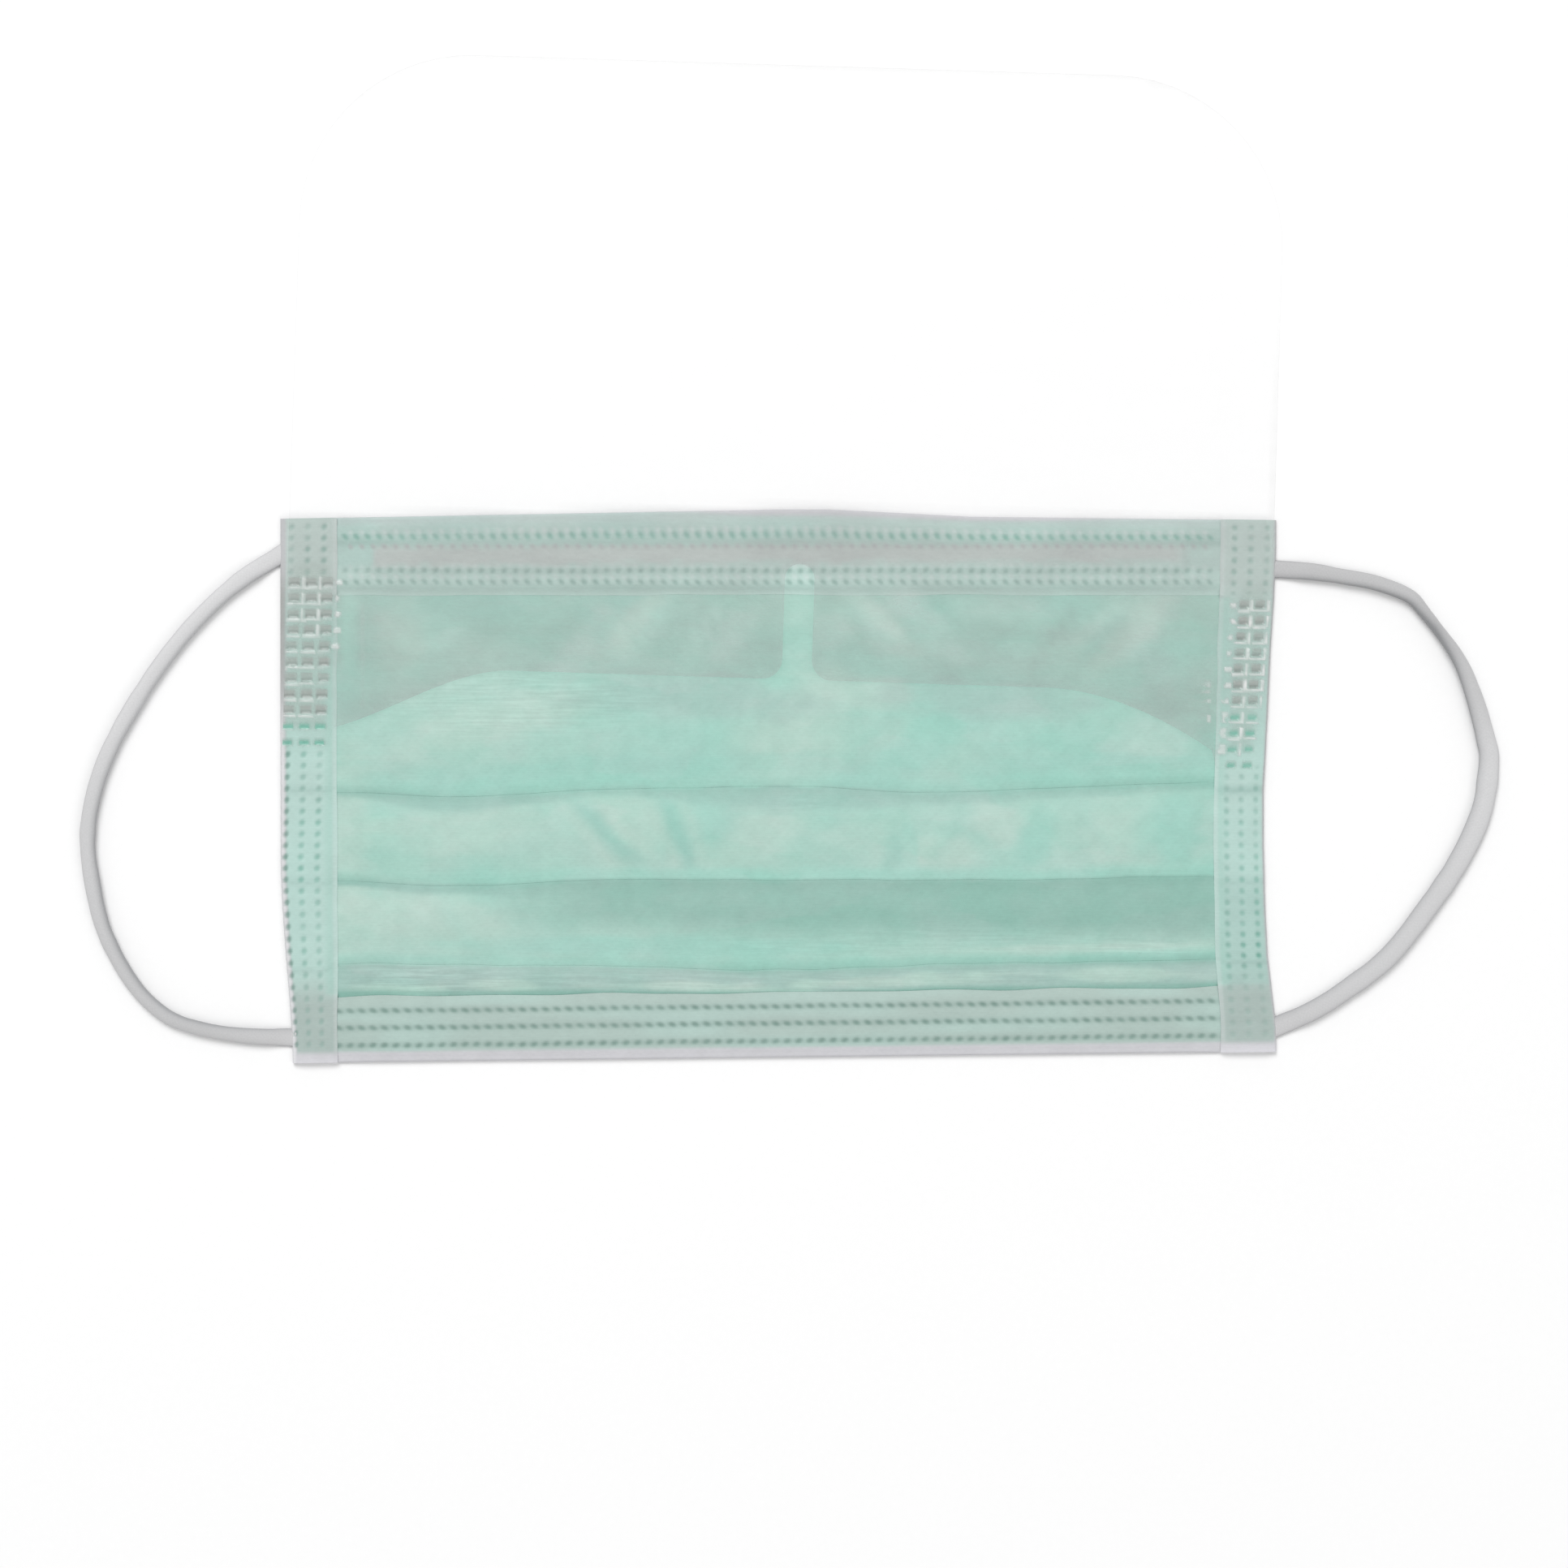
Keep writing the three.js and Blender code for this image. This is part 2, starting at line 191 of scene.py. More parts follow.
class Section:
    """The middle line of a bent strip, as straight runs, eased ramps and half turns."""

    def __init__(self, along, height):
        self.points = [(along, height)]

    def ease(self, along, height, step):
        start_along, start_height = self.points[-1]
        count = max(2, round(math.hypot(along - start_along, height - start_height) / step))
        for share in np.linspace(0.0, 1.0, count + 1)[1:]:
            eased = smooth(share, 0.0, 1.0)
            self.points.append((mix(start_along, along, share), mix(start_height, height, eased)))
        return self

    def run(self, along, step):
        return self.ease(along, self.points[-1][1], step)

    def turn(self, height, steps=8):
        along, start = self.points[-1]
        heading = math.copysign(1.0, along - self.points[-2][0])
        middle = (start + height) / 2
        for angle in np.linspace(0.0, math.pi, steps + 1)[1:]:
            reach = abs(height - start) / 2 * math.sin(angle)
            self.points.append((along + heading * reach, middle + (start - middle) * math.cos(angle)))
        return self

    def sides(self, wall):
        """The points on the left and on the right of the line, half a wall away."""
        line = np.array(self.points)
        heading = np.gradient(line, axis=0)
        heading /= np.linalg.norm(heading, axis=1, keepdims=True)
        left = np.stack([-heading[:, 1], heading[:, 0]], axis=1) * np.reshape(wall, (-1, 1)) / 2
        return line + left, line - left

    def strip_sides(self):
        """The outer and the inner side of a strip that starts on its front."""
        outer, inner = self.sides(STRIP_WALL)
        return (inner, outer) if outer[0, 1] < inner[0, 1] else (outer, inner)


def strip_section(free, fold, pinch, front_z, step):
    """Front free edge, front wall, fold and back wall of a strip, closing down towards the fold."""
    sign = math.copysign(1.0, fold)
    line = Section(free, front_z).run(fold - sign * pinch, step)
    line.ease(fold - sign * STRIP_TURN_REACH, STRIP_TURN, step)
    return line.turn(STRIP_LOW).run(free, HIDDEN_STEP)


# Meshes from arrays

SHARP_DEGREES = 55.0


def grid_faces(count, columns):
    index = np.arange(count * columns).reshape(count, columns)
    corners = [index[:-1, :-1], index[1:, :-1], index[1:, 1:], index[:-1, 1:]]
    return np.stack(corners, axis=-1).reshape(-1, 4)


def new_piece(name, node, points, faces, materials, face_materials=None):
    """A piece of the part, with the node that it replaces."""
    mesh = bpy.data.meshes.new(name)
    mesh.from_pydata((points * MM).tolist(), [], [face for group in faces for face in group.tolist()])
    for material in materials:
        mesh.materials.append(material)
    if face_materials is not None:
        mesh.polygons.foreach_set("material_index", face_materials)
    mesh.polygons.foreach_set("use_smooth", np.ones(len(mesh.polygons), bool))
    mesh.set_sharp_from_angle(angle=math.radians(SHARP_DEGREES))
    mesh.update()
    piece = bpy.data.objects.new(name, mesh)
    bpy.context.collection.objects.link(piece)
    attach(piece, BODY)
    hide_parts(node)
    return piece


def closed_sheet(name, node, faces, outer, inner, materials, back=0):
    """A closed sheet between two point sets that share their faces, with a rim round the open edges."""
    outer, inner = outer.reshape(-1, 3), inner.reshape(-1, 3)
    count = len(outer)
    starts, ends = faces.ravel(), np.roll(faces, -1, axis=1).ravel()
    is_rim = ~np.isin(starts * count + ends, ends * count + starts)
    rim = np.stack([ends, starts, starts + count, ends + count], axis=1)[is_rim]
    groups = [faces, faces[:, ::-1] + count, rim]
    a, b, c = (outer[faces[:, i]] for i in range(3))
    thickness = np.einsum("ij,ij->i", np.cross(b - a, c - a), a - inner[faces[:, 0]])
    if thickness.sum() < 0:
        groups = [group[:, ::-1] for group in groups]
    indices = [np.full(len(group), index, np.int32) for group, index in zip(groups, (0, back, back))]
    points = np.concatenate([outer, inner])
    return new_piece(name, node, points, groups, materials, np.concatenate(indices))


def set_tint(piece, colours, alpha=None):
    """Keeps a colour for each point, which the piece's material reads."""
    flat = np.ones((len(piece.data.vertices), 4), np.float32)
    flat[:, :3] = np.clip(colours.reshape(-1, 3), 0.0, 1.0)
    if alpha is not None:
        flat[:, 3] = np.clip(alpha.ravel(), 0.0, 1.0)
    layer = piece.data.color_attributes.new("tint", "FLOAT_COLOR", "POINT")
    layer.data.foreach_set("color", flat.ravel())


def with_back(tint):
    """The tint of a sheet's front, with plain white cloth for its back."""
    return np.stack([tint, np.broadcast_to(PLY_ALONE, tint.shape)])


def set_number(piece, name, values):
    layer = piece.data.attributes.new(name, "FLOAT", "POINT")
    layer.data.foreach_set("value", np.asarray(values, np.float32).ravel())


# Colours, as they show in the picture

# How much a level surface gives back of its colour under the lamps below
LIGHT_GAIN = 1.08
# The sRGB curve, with its straight part below the knee
SRGB = Named(full=255.0, knee=0.04045, slope=12.92, lift=0.055, power=2.4)


def colour(red, green, blue):
    """The surface colour that shows as this sRGB value under the lamps."""
    value = np.array([red, green, blue]) / SRGB.full
    curved = ((value + SRGB.lift) / (1.0 + SRGB.lift)) ** SRGB.power
    return np.where(value <= SRGB.knee, value / SRGB.slope, curved) / LIGHT_GAIN


MINT = colour(170, 211, 199)
MINT_AQUA = colour(160, 211, 198)
MINT_VIVID = colour(164, 217, 203)
MINT_PALE = colour(184, 214, 203)
MINT_DEEP_SHADE = colour(145, 188, 176)
MINT_CREASE_SHADE = colour(155, 203, 191)
MINT_SHADE = colour(158, 197, 187)
MINT_SHADOW_LINE = colour(132, 180, 167)
MINT_GREY = colour(166, 198, 190)
PLY_ALONE = colour(210, 210, 214)
PLY_HIGHLIGHT = colour(236, 236, 238)
PLY_EDGE = colour(182, 184, 184)
PLY_OVER_MINT = colour(186, 217, 209)
PLY_GREY_MINT = colour(190, 211, 204)
PLY_HEM = colour(192, 216, 209)
PLY_HEM_LOW = colour(197, 224, 216)
PLY_CHIN = colour(179, 199, 192)
PLY_MINT_SHADE = colour(168, 200, 192)
PLY_OVER_HEM = colour(194, 208, 203)
PLY_OVER_CHIN = colour(172, 187, 182)
PLY_OVER_WIRE = colour(199, 205, 202)
WELD_TEAL = colour(108, 172, 155)
WELD_GREEN = colour(130, 168, 157)
WELD_DARK = colour(122, 150, 141)
CELL_GREY = colour(172, 176, 172)
CELL_SHADE = colour(128, 134, 130)
CELL_TEAL = colour(112, 184, 164)
AREA_GREY = colour(182, 192, 187)
ELASTIC_GREY = colour(210, 210, 211)
ELASTIC_SHADE = colour(168, 169, 171)
WIRE_GREY = colour(214, 214, 217)
FILM_HAZE = np.array([0.4, 0.4, 0.4])
RIDGE_GLINT = np.array([0.82, 0.82, 0.815])
BLOTCH_AND_FACET_SHADE_VIVID = (0.975, 0.997, 0.984, 1.0)
BLOTCH_AND_FACET_SHADE_GREY = (1.105, 1.012, 1.028, 1.0)


# Materials

FACET_EDGE = 0.6
BOND_DEPTH = 0.3
# The stitches of the elastic: how many lie round it, and how long and high each one is
WALES = 14.0
COURSE_PITCH = 0.62
STITCH_DEPTH = 0.2
# How dense the film looks at flat angles, and the least haze, which tells its front from its clear back
FLAT_ANGLE = Named(power=3.0, share=0.5)
LEAST_HAZE = 0.001


class Nodes:
    """A short way to write a material's nodes."""

    def __init__(self, name):
        self.material = bpy.data.materials.new(name)
        self.material.use_nodes = True
        self.tree = self.material.node_tree
        self.tree.nodes.clear()

    def add(self, kind, inputs=None, **settings):
        node = self.tree.nodes.new("ShaderNode" + kind)
        for key, value in settings.items():
            setattr(node, key, value)
        for key, value in (inputs or {}).items():
            if isinstance(value, bpy.types.NodeSocket):
                self.tree.links.new(value, node.inputs[key])
            else:
                node.inputs[key].default_value = value
        return node

    def attribute(self, name, output="Color"):
        return self.add("Attribute", attribute_name=name).outputs[output]

    def math(self, operation, first, second=0.0):
        return self.add("Math", {0: first, 1: second}, operation=operation).outputs[0]

    def times(self, first, *others):
        for other in others:
            first = self.math("MULTIPLY", first, other)
        return first

    def plus(self, first, second):
        return self.math("ADD", first, second)

    def scale(self, vector, factor):
        return self.add("VectorMath", {"Vector": vector, "Scale": factor}, operation="SCALE").outputs[0]

    def range(self, value, to=(0.0, 1.0), span=(0.3, 0.7)):
        """Maps a span, which by default holds most values of a noise, to another one."""
        names = ("Value", "From Min", "From Max", "To Min", "To Max")
        return self.add("MapRange", dict(zip(names, (value, *span, *to)))).outputs[0]

    def in_mm(self, turn=0.0, stretch=(1.0, 1.0, 1.0)):
        inputs = {"Vector": self.add("TexCoord").outputs["Object"]}
        inputs["Rotation"] = (0.0, 0.0, math.radians(turn))
        inputs["Scale"] = tuple(part / MM for part in stretch)
        return self.add("Mapping", inputs).outputs[0]

    def noise(self, vector, scale=1.0, detail=2.0):
        inputs = {"Vector": vector, "Scale": scale, "Detail": detail, "Roughness": 0.6}
        return self.add("TexNoise", inputs).outputs[0]

    def bump(self, height, strength, depth):
        return self.add("Bump", {"Height": height, "Strength": strength, "Distance": depth * MM}).outputs[0]

    def surface(self, inputs):
        shader = self.add("BsdfPrincipled", inputs)
        self.add("OutputMaterial", {"Surface": shader.outputs[0]})
        return self.material


def fibres(nodes):
    """Fine threads that cross at two slants, from 0 to 1."""
    places = [nodes.in_mm(turn=turn, stretch=(0.55, 5.0, 1.0)) for turn in (28.0, -35.0)]
    return nodes.math("MAXIMUM", *(nodes.noise(place, detail=3.0) for place in places))


def mottled(nodes, tint):
    """Adds ragged blotches, the facets of crumpled cloth, and fine streaks where the piece has them."""
    blotches = nodes.noise(nodes.in_mm(turn=12.0, stretch=(0.1, 0.17, 0.0)), detail=7.0)
    place = nodes.in_mm(turn=-26.0, stretch=(0.07, 0.16, 0.0))
    ragged = nodes.add("TexNoise", {"Vector": place, "Scale": 2.5, "Detail": 4.0}).outputs["Color"]
    ragged = nodes.scale(ragged, FACET_EDGE)
    place = nodes.add("VectorMath", {0: place, 1: ragged}, operation="ADD").outputs[0]
    cells = {"Vector": place, "Scale": 1.0, "Smoothness": 0.3}
    facets = nodes.add("TexVoronoi", cells, feature="SMOOTH_F1", voronoi_dimensions="2D").outputs["Color"]
    # The facets of crumpled cloth are painted light and shade, mixed with the blotches of the cloth's own
    # colour
    share = nodes.times(nodes.plus(nodes.range(blotches, span=(0.42, 0.62)), nodes.range(facets)), 0.5)
    cast = nodes.add("Mix", {0: share, 6: BLOTCH_AND_FACET_SHADE_VIVID, 7: BLOTCH_AND_FACET_SHADE_GREY}, data_type="RGBA").outputs[2]
    tint = nodes.add("VectorMath", {0: tint, 1: cast}, operation="MULTIPLY").outputs[0]
    lines = nodes.noise(nodes.in_mm(stretch=(0.1, 1.9, 0.0)), detail=4.0)
    lines = nodes.range(lines, to=(-0.04, 0.09), span=(0.4, 0.66))
    return nodes.scale(tint, nodes.plus(nodes.times(lines, nodes.attribute("streak", "Fac")), 1.0))


def spunbond(name, bond_pitch, bump_depth, patchiness, has_blotches=False):
    """Nonwoven cloth: fine threads, rows of small bond points and cloudy patches over the piece's tint."""
    nodes = Nodes(name)
    tint = nodes.attribute("tint")
    if has_blotches:
        tint = mottled(nodes, tint)
    threads = fibres(nodes)
    lattice = {"Vector": nodes.in_mm(turn=45.0), "Scale": 1.0 / bond_pitch, "Randomness": 0.0}
    reach = nodes.add("TexVoronoi", lattice, voronoi_dimensions="2D").outputs["Distance"]
    bond = nodes.range(reach, to=(1.0, 0.0), span=(0.18, 0.38))
    clouds = nodes.noise(nodes.in_mm(), scale=0.35, detail=4.0)
    shade = nodes.times(
        nodes.range(clouds, to=(1.0 - patchiness, 1.0 + patchiness)),
        nodes.range(threads, to=(0.965, 1.03), span=(0.35, 0.75)),
        nodes.range(bond, to=(1.0, 0.985), span=(0.0, 1.0)),
    )
    height = nodes.math("SUBTRACT", threads, nodes.times(bond, BOND_DEPTH))
    return nodes.surface({
        "Base Color": nodes.scale(tint, shade),
        "Roughness": nodes.range(bond, to=(0.92, 0.7), span=(0.0, 1.0)),
        "Normal": nodes.bump(height, strength=0.3, depth=bump_depth),
        "Specular IOR Level": 0.25,
        "Sheen Weight": 0.15,
        "Sheen Roughness": 0.6,
    })


def knitted_elastic():
    """Soft knitted elastic: stitches along and round the cord, by the piece's own measures."""
    nodes = Nodes("knitted_elastic")
    wales = nodes.times(nodes.attribute("around", "Fac"), 2.0 * math.pi * WALES)
    courses = nodes.times(nodes.attribute("along", "Fac"), 2.0 * math.pi / COURSE_PITCH)
    stitch = nodes.times(nodes.math("SINE", wales), nodes.math("SINE", courses))
    fuzz = nodes.noise(nodes.in_mm(), scale=3.2, detail=3.0)
    weave = nodes.range(stitch, to=(0.98, 1.01), span=(-1.0, 1.0))
    shade = nodes.times(weave, nodes.range(fuzz, to=(0.96, 1.03)))
    height = nodes.plus(nodes.times(stitch, STITCH_DEPTH), fuzz)
    return nodes.surface({
        "Base Color": nodes.scale(nodes.attribute("tint"), shade),
        "Roughness": nodes.range(fuzz, to=(0.8, 0.95)),
        "Normal": nodes.bump(height, strength=0.4, depth=0.1),
        "Specular IOR Level": 0.2,
        "Sheen Weight": 0.2,
        "Sheen Roughness": 0.5,
    })


def coated_wire():
    """The nose wire's dull plastic coat, with fine drawing lines along it."""
    nodes = Nodes("coated_wire")
    lines = nodes.noise(nodes.in_mm(stretch=(0.05, 6.0, 6.0)))
    return nodes.surface({
        "Base Color": nodes.scale(nodes.attribute("tint"), nodes.range(lines, to=(0.95, 1.03))),
        "Roughness": nodes.range(lines, to=(0.42, 0.55)),
        "Normal": nodes.bump(lines, strength=0.3, depth=0.05),
    })


def clear_film():
    """Thin polyester: a faint haze that the piece's tint gives, and more of it at flat angles."""
    nodes = Nodes("clear_film")
    tint = nodes.add("Attribute", attribute_name="tint").outputs
    smears = nodes.noise(nodes.in_mm(turn=24.0, stretch=(0.04, 0.16, 0.0)), detail=8.0)
    haze = nodes.times(tint["Alpha"], nodes.range(smears, to=(0.6, 1.4)))
    is_front = nodes.math("GREATER_THAN", tint["Alpha"], LEAST_HAZE)
    facing = nodes.add("LayerWeight", {"Blend": 0.5}).outputs["Facing"]
    flat_angle = nodes.times(nodes.math("POWER", facing, FLAT_ANGLE.power), FLAT_ANGLE.share, is_front)
    return nodes.surface({
        "Base Color": tint["Color"],
        "Alpha": nodes.plus(haze, flat_angle),
        "Roughness": nodes.range(smears, to=(0.1, 0.2)),
        "Normal": nodes.bump(smears, strength=0.15, depth=0.2),
        "IOR": 1.5,
    })


def studio_paper():
    """A pale floor with a barely visible paper grain."""
    nodes = Nodes("studio_paper")
    level = nodes.range(nodes.noise(nodes.in_mm(), scale=0.8, detail=3.0), to=(0.94, 0.95))
    shade = nodes.add("CombineColor", {"Red": level, "Green": level, "Blue": level}).outputs[0]
    return nodes.surface({"Base Color": shade, "Roughness": 0.95, "Specular IOR Level": 0.1})


MINT_CLOTH = spunbond("mint_spunbond", bond_pitch=1.15, bump_depth=0.16, patchiness=0.04, has_blotches=True)
WHITE_CLOTH = spunbond("white_spunbond", bond_pitch=0.95, bump_depth=0.12, patchiness=0.03)
ELASTIC = knitted_elastic()
WIRE_COAT = coated_wire()
FILM = clear_film()


# Camera and lamps

PHOTO_WIDTH = 275.3
PHOTO_MIDDLE = (1.0, 0.7)
LENS = 85.0
SENSOR = 36.0
# Lamps and floor in metres, lamps in watts
LAMPS = rows(
    "name place size power",
    ("key", (-0.6, 1.5, 2.1), 1.6, 36.0),
    ("fill", (1.4, -1.2, 2.0), 1.6, 8.0),
)
SKY_STRENGTH = 0.62
FLOOR_REACH = 3.0


def make_camera():
    data = bpy.data.cameras.new("camera")
    data.lens = LENS
    data.sensor_width = SENSOR
    camera = bpy.data.objects.new("camera", data)
    middle_x, middle_y = PHOTO_MIDDLE
    camera.location = (middle_x * MM, middle_y * MM, (PHOTO_WIDTH * LENS / SENSOR + HIGH) * MM)
    bpy.context.collection.objects.link(camera)
    bpy.context.scene.camera = camera


def make_light():
    for lamp in LAMPS:
        data = bpy.data.lights.new(lamp.name, "AREA")
        data.shape = "DISK"
        data.size = lamp.size
        data.energy = lamp.power
        light = bpy.data.objects.new(lamp.name, data)
        light.location = lamp.place
        light.rotation_euler = (-light.location).to_track_quat("-Z", "Y").to_euler()
        bpy.context.collection.objects.link(light)
    scene = bpy.context.scene
    scene.world = scene.world or bpy.data.worlds.new("studio")
    scene.world.use_nodes = True
    background = scene.world.node_tree.nodes["Background"]
    background.inputs["Color"].default_value = (1.0, 1.0, 1.0, 1.0)
    background.inputs["Strength"].default_value = SKY_STRENGTH
    scene.view_settings.view_transform = "Standard"


def make_floor():
    mesh = bpy.data.meshes.new("floor")
    signs = [(-1, -1), (1, -1), (1, 1), (-1, 1)]
    corners = [(FLOOR_REACH * sign_x, FLOOR_REACH * sign_y, 0.0) for sign_x, sign_y in signs]
    mesh.from_pydata(corners, [], [(0, 1, 2, 3)])
    mesh.materials.append(studio_paper())
    floor = bpy.data.objects.new("floor", mesh)
    bpy.context.collection.objects.link(floor)


make_camera()
make_light()
make_floor()


# Ear loops

# Middle lines from the upper end to the lower end, and how the flat elastic is turned along them
# Along each loop, painted light and shade make parts of it lighter or darker
EAR_LOOPS = [
    Named(
        name="ear_loop_left", inner=-1.0,
        route=[
            (-88.7, 40.2), (-93.9, 36.9), (-99.6, 32.1), (-105.3, 25.9), (-111.0, 18.1), (-116.7, 8.3),
            (-119.9, 0.1), (-121.3, -8.4), (-120.4, -17.0), (-118.2, -25.5), (-113.5, -34.1),
            (-108.2, -39.5), (-102.5, -42.0), (-93.9, -43.5), (-85.6, -43.8),
        ],
        share=[0.0, 0.12, 0.3, 0.5, 0.7, 0.85, 1.0],
        width=[3.3, 2.8, 2.75, 2.7, 2.7, 2.6, 3.2],
        height=[1.5, 1.9, 2.0, 2.0, 2.0, 1.9, 1.5],
        twist=[0.0, 10.0, 15.0, -5.0, -25.0, -30.0, 0.0],
        tone=[1.08, 1.12, 1.1, 0.98, 0.95, 0.96, 0.98],
    ),
    Named(
        name="ear_loop_right", inner=1.0,
        route=[
            (88.0, 38.4), (93.5, 38.0), (99.2, 37.1), (104.9, 36.0), (110.6, 33.8), (113.4, 30.9),
            (119.1, 23.2), (122.0, 16.5), (124.2, 8.7), (124.8, 4.4), (123.5, -4.1), (119.6, -12.7),
            (113.9, -21.2), (107.0, -29.8), (99.2, -35.8), (93.5, -39.3), (88.5, -41.5),
        ],
        share=[0.0, 0.1, 0.2, 0.27, 0.36, 0.5, 0.75, 1.0],
        width=[3.3, 2.8, 2.7, 2.3, 3.2, 3.8, 3.6, 3.4],
        height=[1.5, 1.8, 1.9, 1.9, 1.7, 1.6, 1.6, 1.5],
        twist=[0.0, 5.0, 25.0, 62.0, 30.0, 8.0, -6.0, 0.0],
        tone=[0.86, 0.84, 0.84, 0.8, 0.92, 1.08, 1.0, 0.96],
    ),
]
LOOP_TUCK = 2.6
LOOP_SIDES = 24
LOOP_STEP = 0.45
LOOP_UNEVEN = 0.12
LOOP_ROUNDNESS = 0.85
LOOP_END = Named(fade=(1.5, 7.5), height=0.8, middle_z=0.46)
LOOP_SHADE = Named(edges=0.8, edge_fade=(0.85, -0.3), inside=0.35, inside_fade=(0.1, 0.9))
CURVE_STEPS = 24
FLOOR_GAP = 0.05


def curve_through(points, step):
    """A smooth line through the points, with even steps along it."""
    padded = np.concatenate([[2 * points[0] - points[1]], points, [2 * points[-1] - points[-2]]])
    shares = np.linspace(0.0, 1.0, CURVE_STEPS, endpoint=False)[:, None]
    pieces = []
    for a, b, c, d in zip(padded, padded[1:], padded[2:], padded[3:]):
        linear = (c - a) * shares
        square = (2 * a - 5 * b + 4 * c - d) * shares ** 2
        cube = (3 * b - a - 3 * c + d) * shares ** 3
        pieces.append(b + (linear + square + cube) / 2)
    line = np.concatenate(pieces + [points[-1:]])
    reach = np.concatenate([[0.0], np.cumsum(np.linalg.norm(np.diff(line, axis=0), axis=1))])
    places = np.linspace(0.0, reach[-1], round(reach[-1] / step) + 1)
    return np.stack([np.interp(places, reach, line[:, i]) for i in range(line.shape[1])], axis=1), places


def rounded(wave):
    """A sine or cosine, with the fuller curve of a squarish oval."""
    return np.sign(wave) * np.abs(wave) ** LOOP_ROUNDNESS


def make_ear_loop(loop):
    points = np.array(loop.route)
    for end, beside in ((0, 1), (-1, -2)):
        outward = points[end] - points[beside]
        points[end] += LOOP_TUCK * outward / np.linalg.norm(outward)
    route, along = curve_through(points, LOOP_STEP)
    share = along / along[-1]
    wide = np.interp(share, loop.share, loop.width) + LOOP_UNEVEN * noise("loop_width", along)
    high = np.interp(share, loop.share, loop.height)
    turn = np.radians(np.interp(share, loop.share, loop.twist))
    free = smooth(np.minimum(along, along[-1] - along), *LOOP_END.fade)
    high = mix(LOOP_END.height, high, free)
    upright = np.hypot(high / 2 * np.cos(turn), wide / 2 * np.sin(turn))
    middle_z = mix(LOOP_END.middle_z, upright + FLOOR_GAP, free)
    heading = np.gradient(route, axis=0)
    heading /= np.linalg.norm(heading, axis=1, keepdims=True)
    across = np.column_stack([heading[:, 1], -heading[:, 0]])

    angle = np.linspace(0.0, 2.0 * math.pi, LOOP_SIDES, endpoint=False)
    flat = rounded(np.cos(angle)) * wide[:, None] / 2
    tall = rounded(np.sin(angle)) * high[:, None] / 2
    sideways = flat * np.cos(turn)[:, None] - tall * np.sin(turn)[:, None]
    upwards = flat * np.sin(turn)[:, None] + tall * np.cos(turn)[:, None]
    rings = np.empty((len(along), LOOP_SIDES, 3))
    rings[..., :2] = route[:, None] + across[:, None] * sideways[..., None]
    rings[..., 2] = np.maximum(middle_z[:, None] + upwards, FLOOR_GAP / 2)

    index = np.arange(rings[..., 0].size).reshape(rings.shape[:2])
    beside = np.roll(index, -1, axis=1)
    walls = np.stack([index[:-1], beside[:-1], beside[1:], index[1:]], axis=-1).reshape(-1, 4)
    caps = np.stack([index[0, ::-1], index[-1]])
    piece = new_piece(
        loop.name + "_elastic", loop.name, rings.reshape(-1, 3), [walls, caps], [ELASTIC],
    )
    shaded = LOOP_SHADE.edges * smooth(np.sin(angle), *LOOP_SHADE.edge_fade)
    shaded = shaded + LOOP_SHADE.inside * smooth(loop.inner * np.cos(angle), *LOOP_SHADE.inside_fade)
    shaded = np.broadcast_to(np.clip(shaded, 0.0, 1.0), tall.shape)
    # Painted light and shade along the loop, as factors on its colour
    tone = waver(share, loop.share, loop.tone)[:, None, None]
    set_tint(piece, paint(ELASTIC_GREY, (ELASTIC_SHADE, shaded)) * tone)
    set_number(piece, "along", np.broadcast_to(along[:, None], index.shape))
    set_number(piece, "around", np.broadcast_to(angle / (2 * math.pi), index.shape))


for ear_loop in EAR_LOOPS:
    make_ear_loop(ear_loop)


# Weld dots

DOT_EDGE = 1.25
DOT_HOLLOW = 1.9


def dot_field(across, along, line_place, spread, half, lean, soft_from, flat=1.0):
    """How deep each point lies in a line of weld dots, from 0 to 1, and in the soft hollow round them."""
    number = np.round((along - spread.first) / spread.pitch)
    number = np.clip(number, 0, math.floor((spread.last - spread.first) / spread.pitch))
    off_across = (across - line_place) / (half * flat)
    off_along = (along - spread.first - number * spread.pitch) / half + lean * off_across
    reach = np.hypot(off_along, off_across)
    return 1.0 - smooth(reach, soft_from, DOT_EDGE), bell(reach, DOT_HOLLOW)


def weld(fields):
    """Joins several lines of dots to one pair of pits and hollows."""
    pits, hollows = zip(*fields)
    return np.maximum.reduce(pits), np.maximum.reduce(hollows)
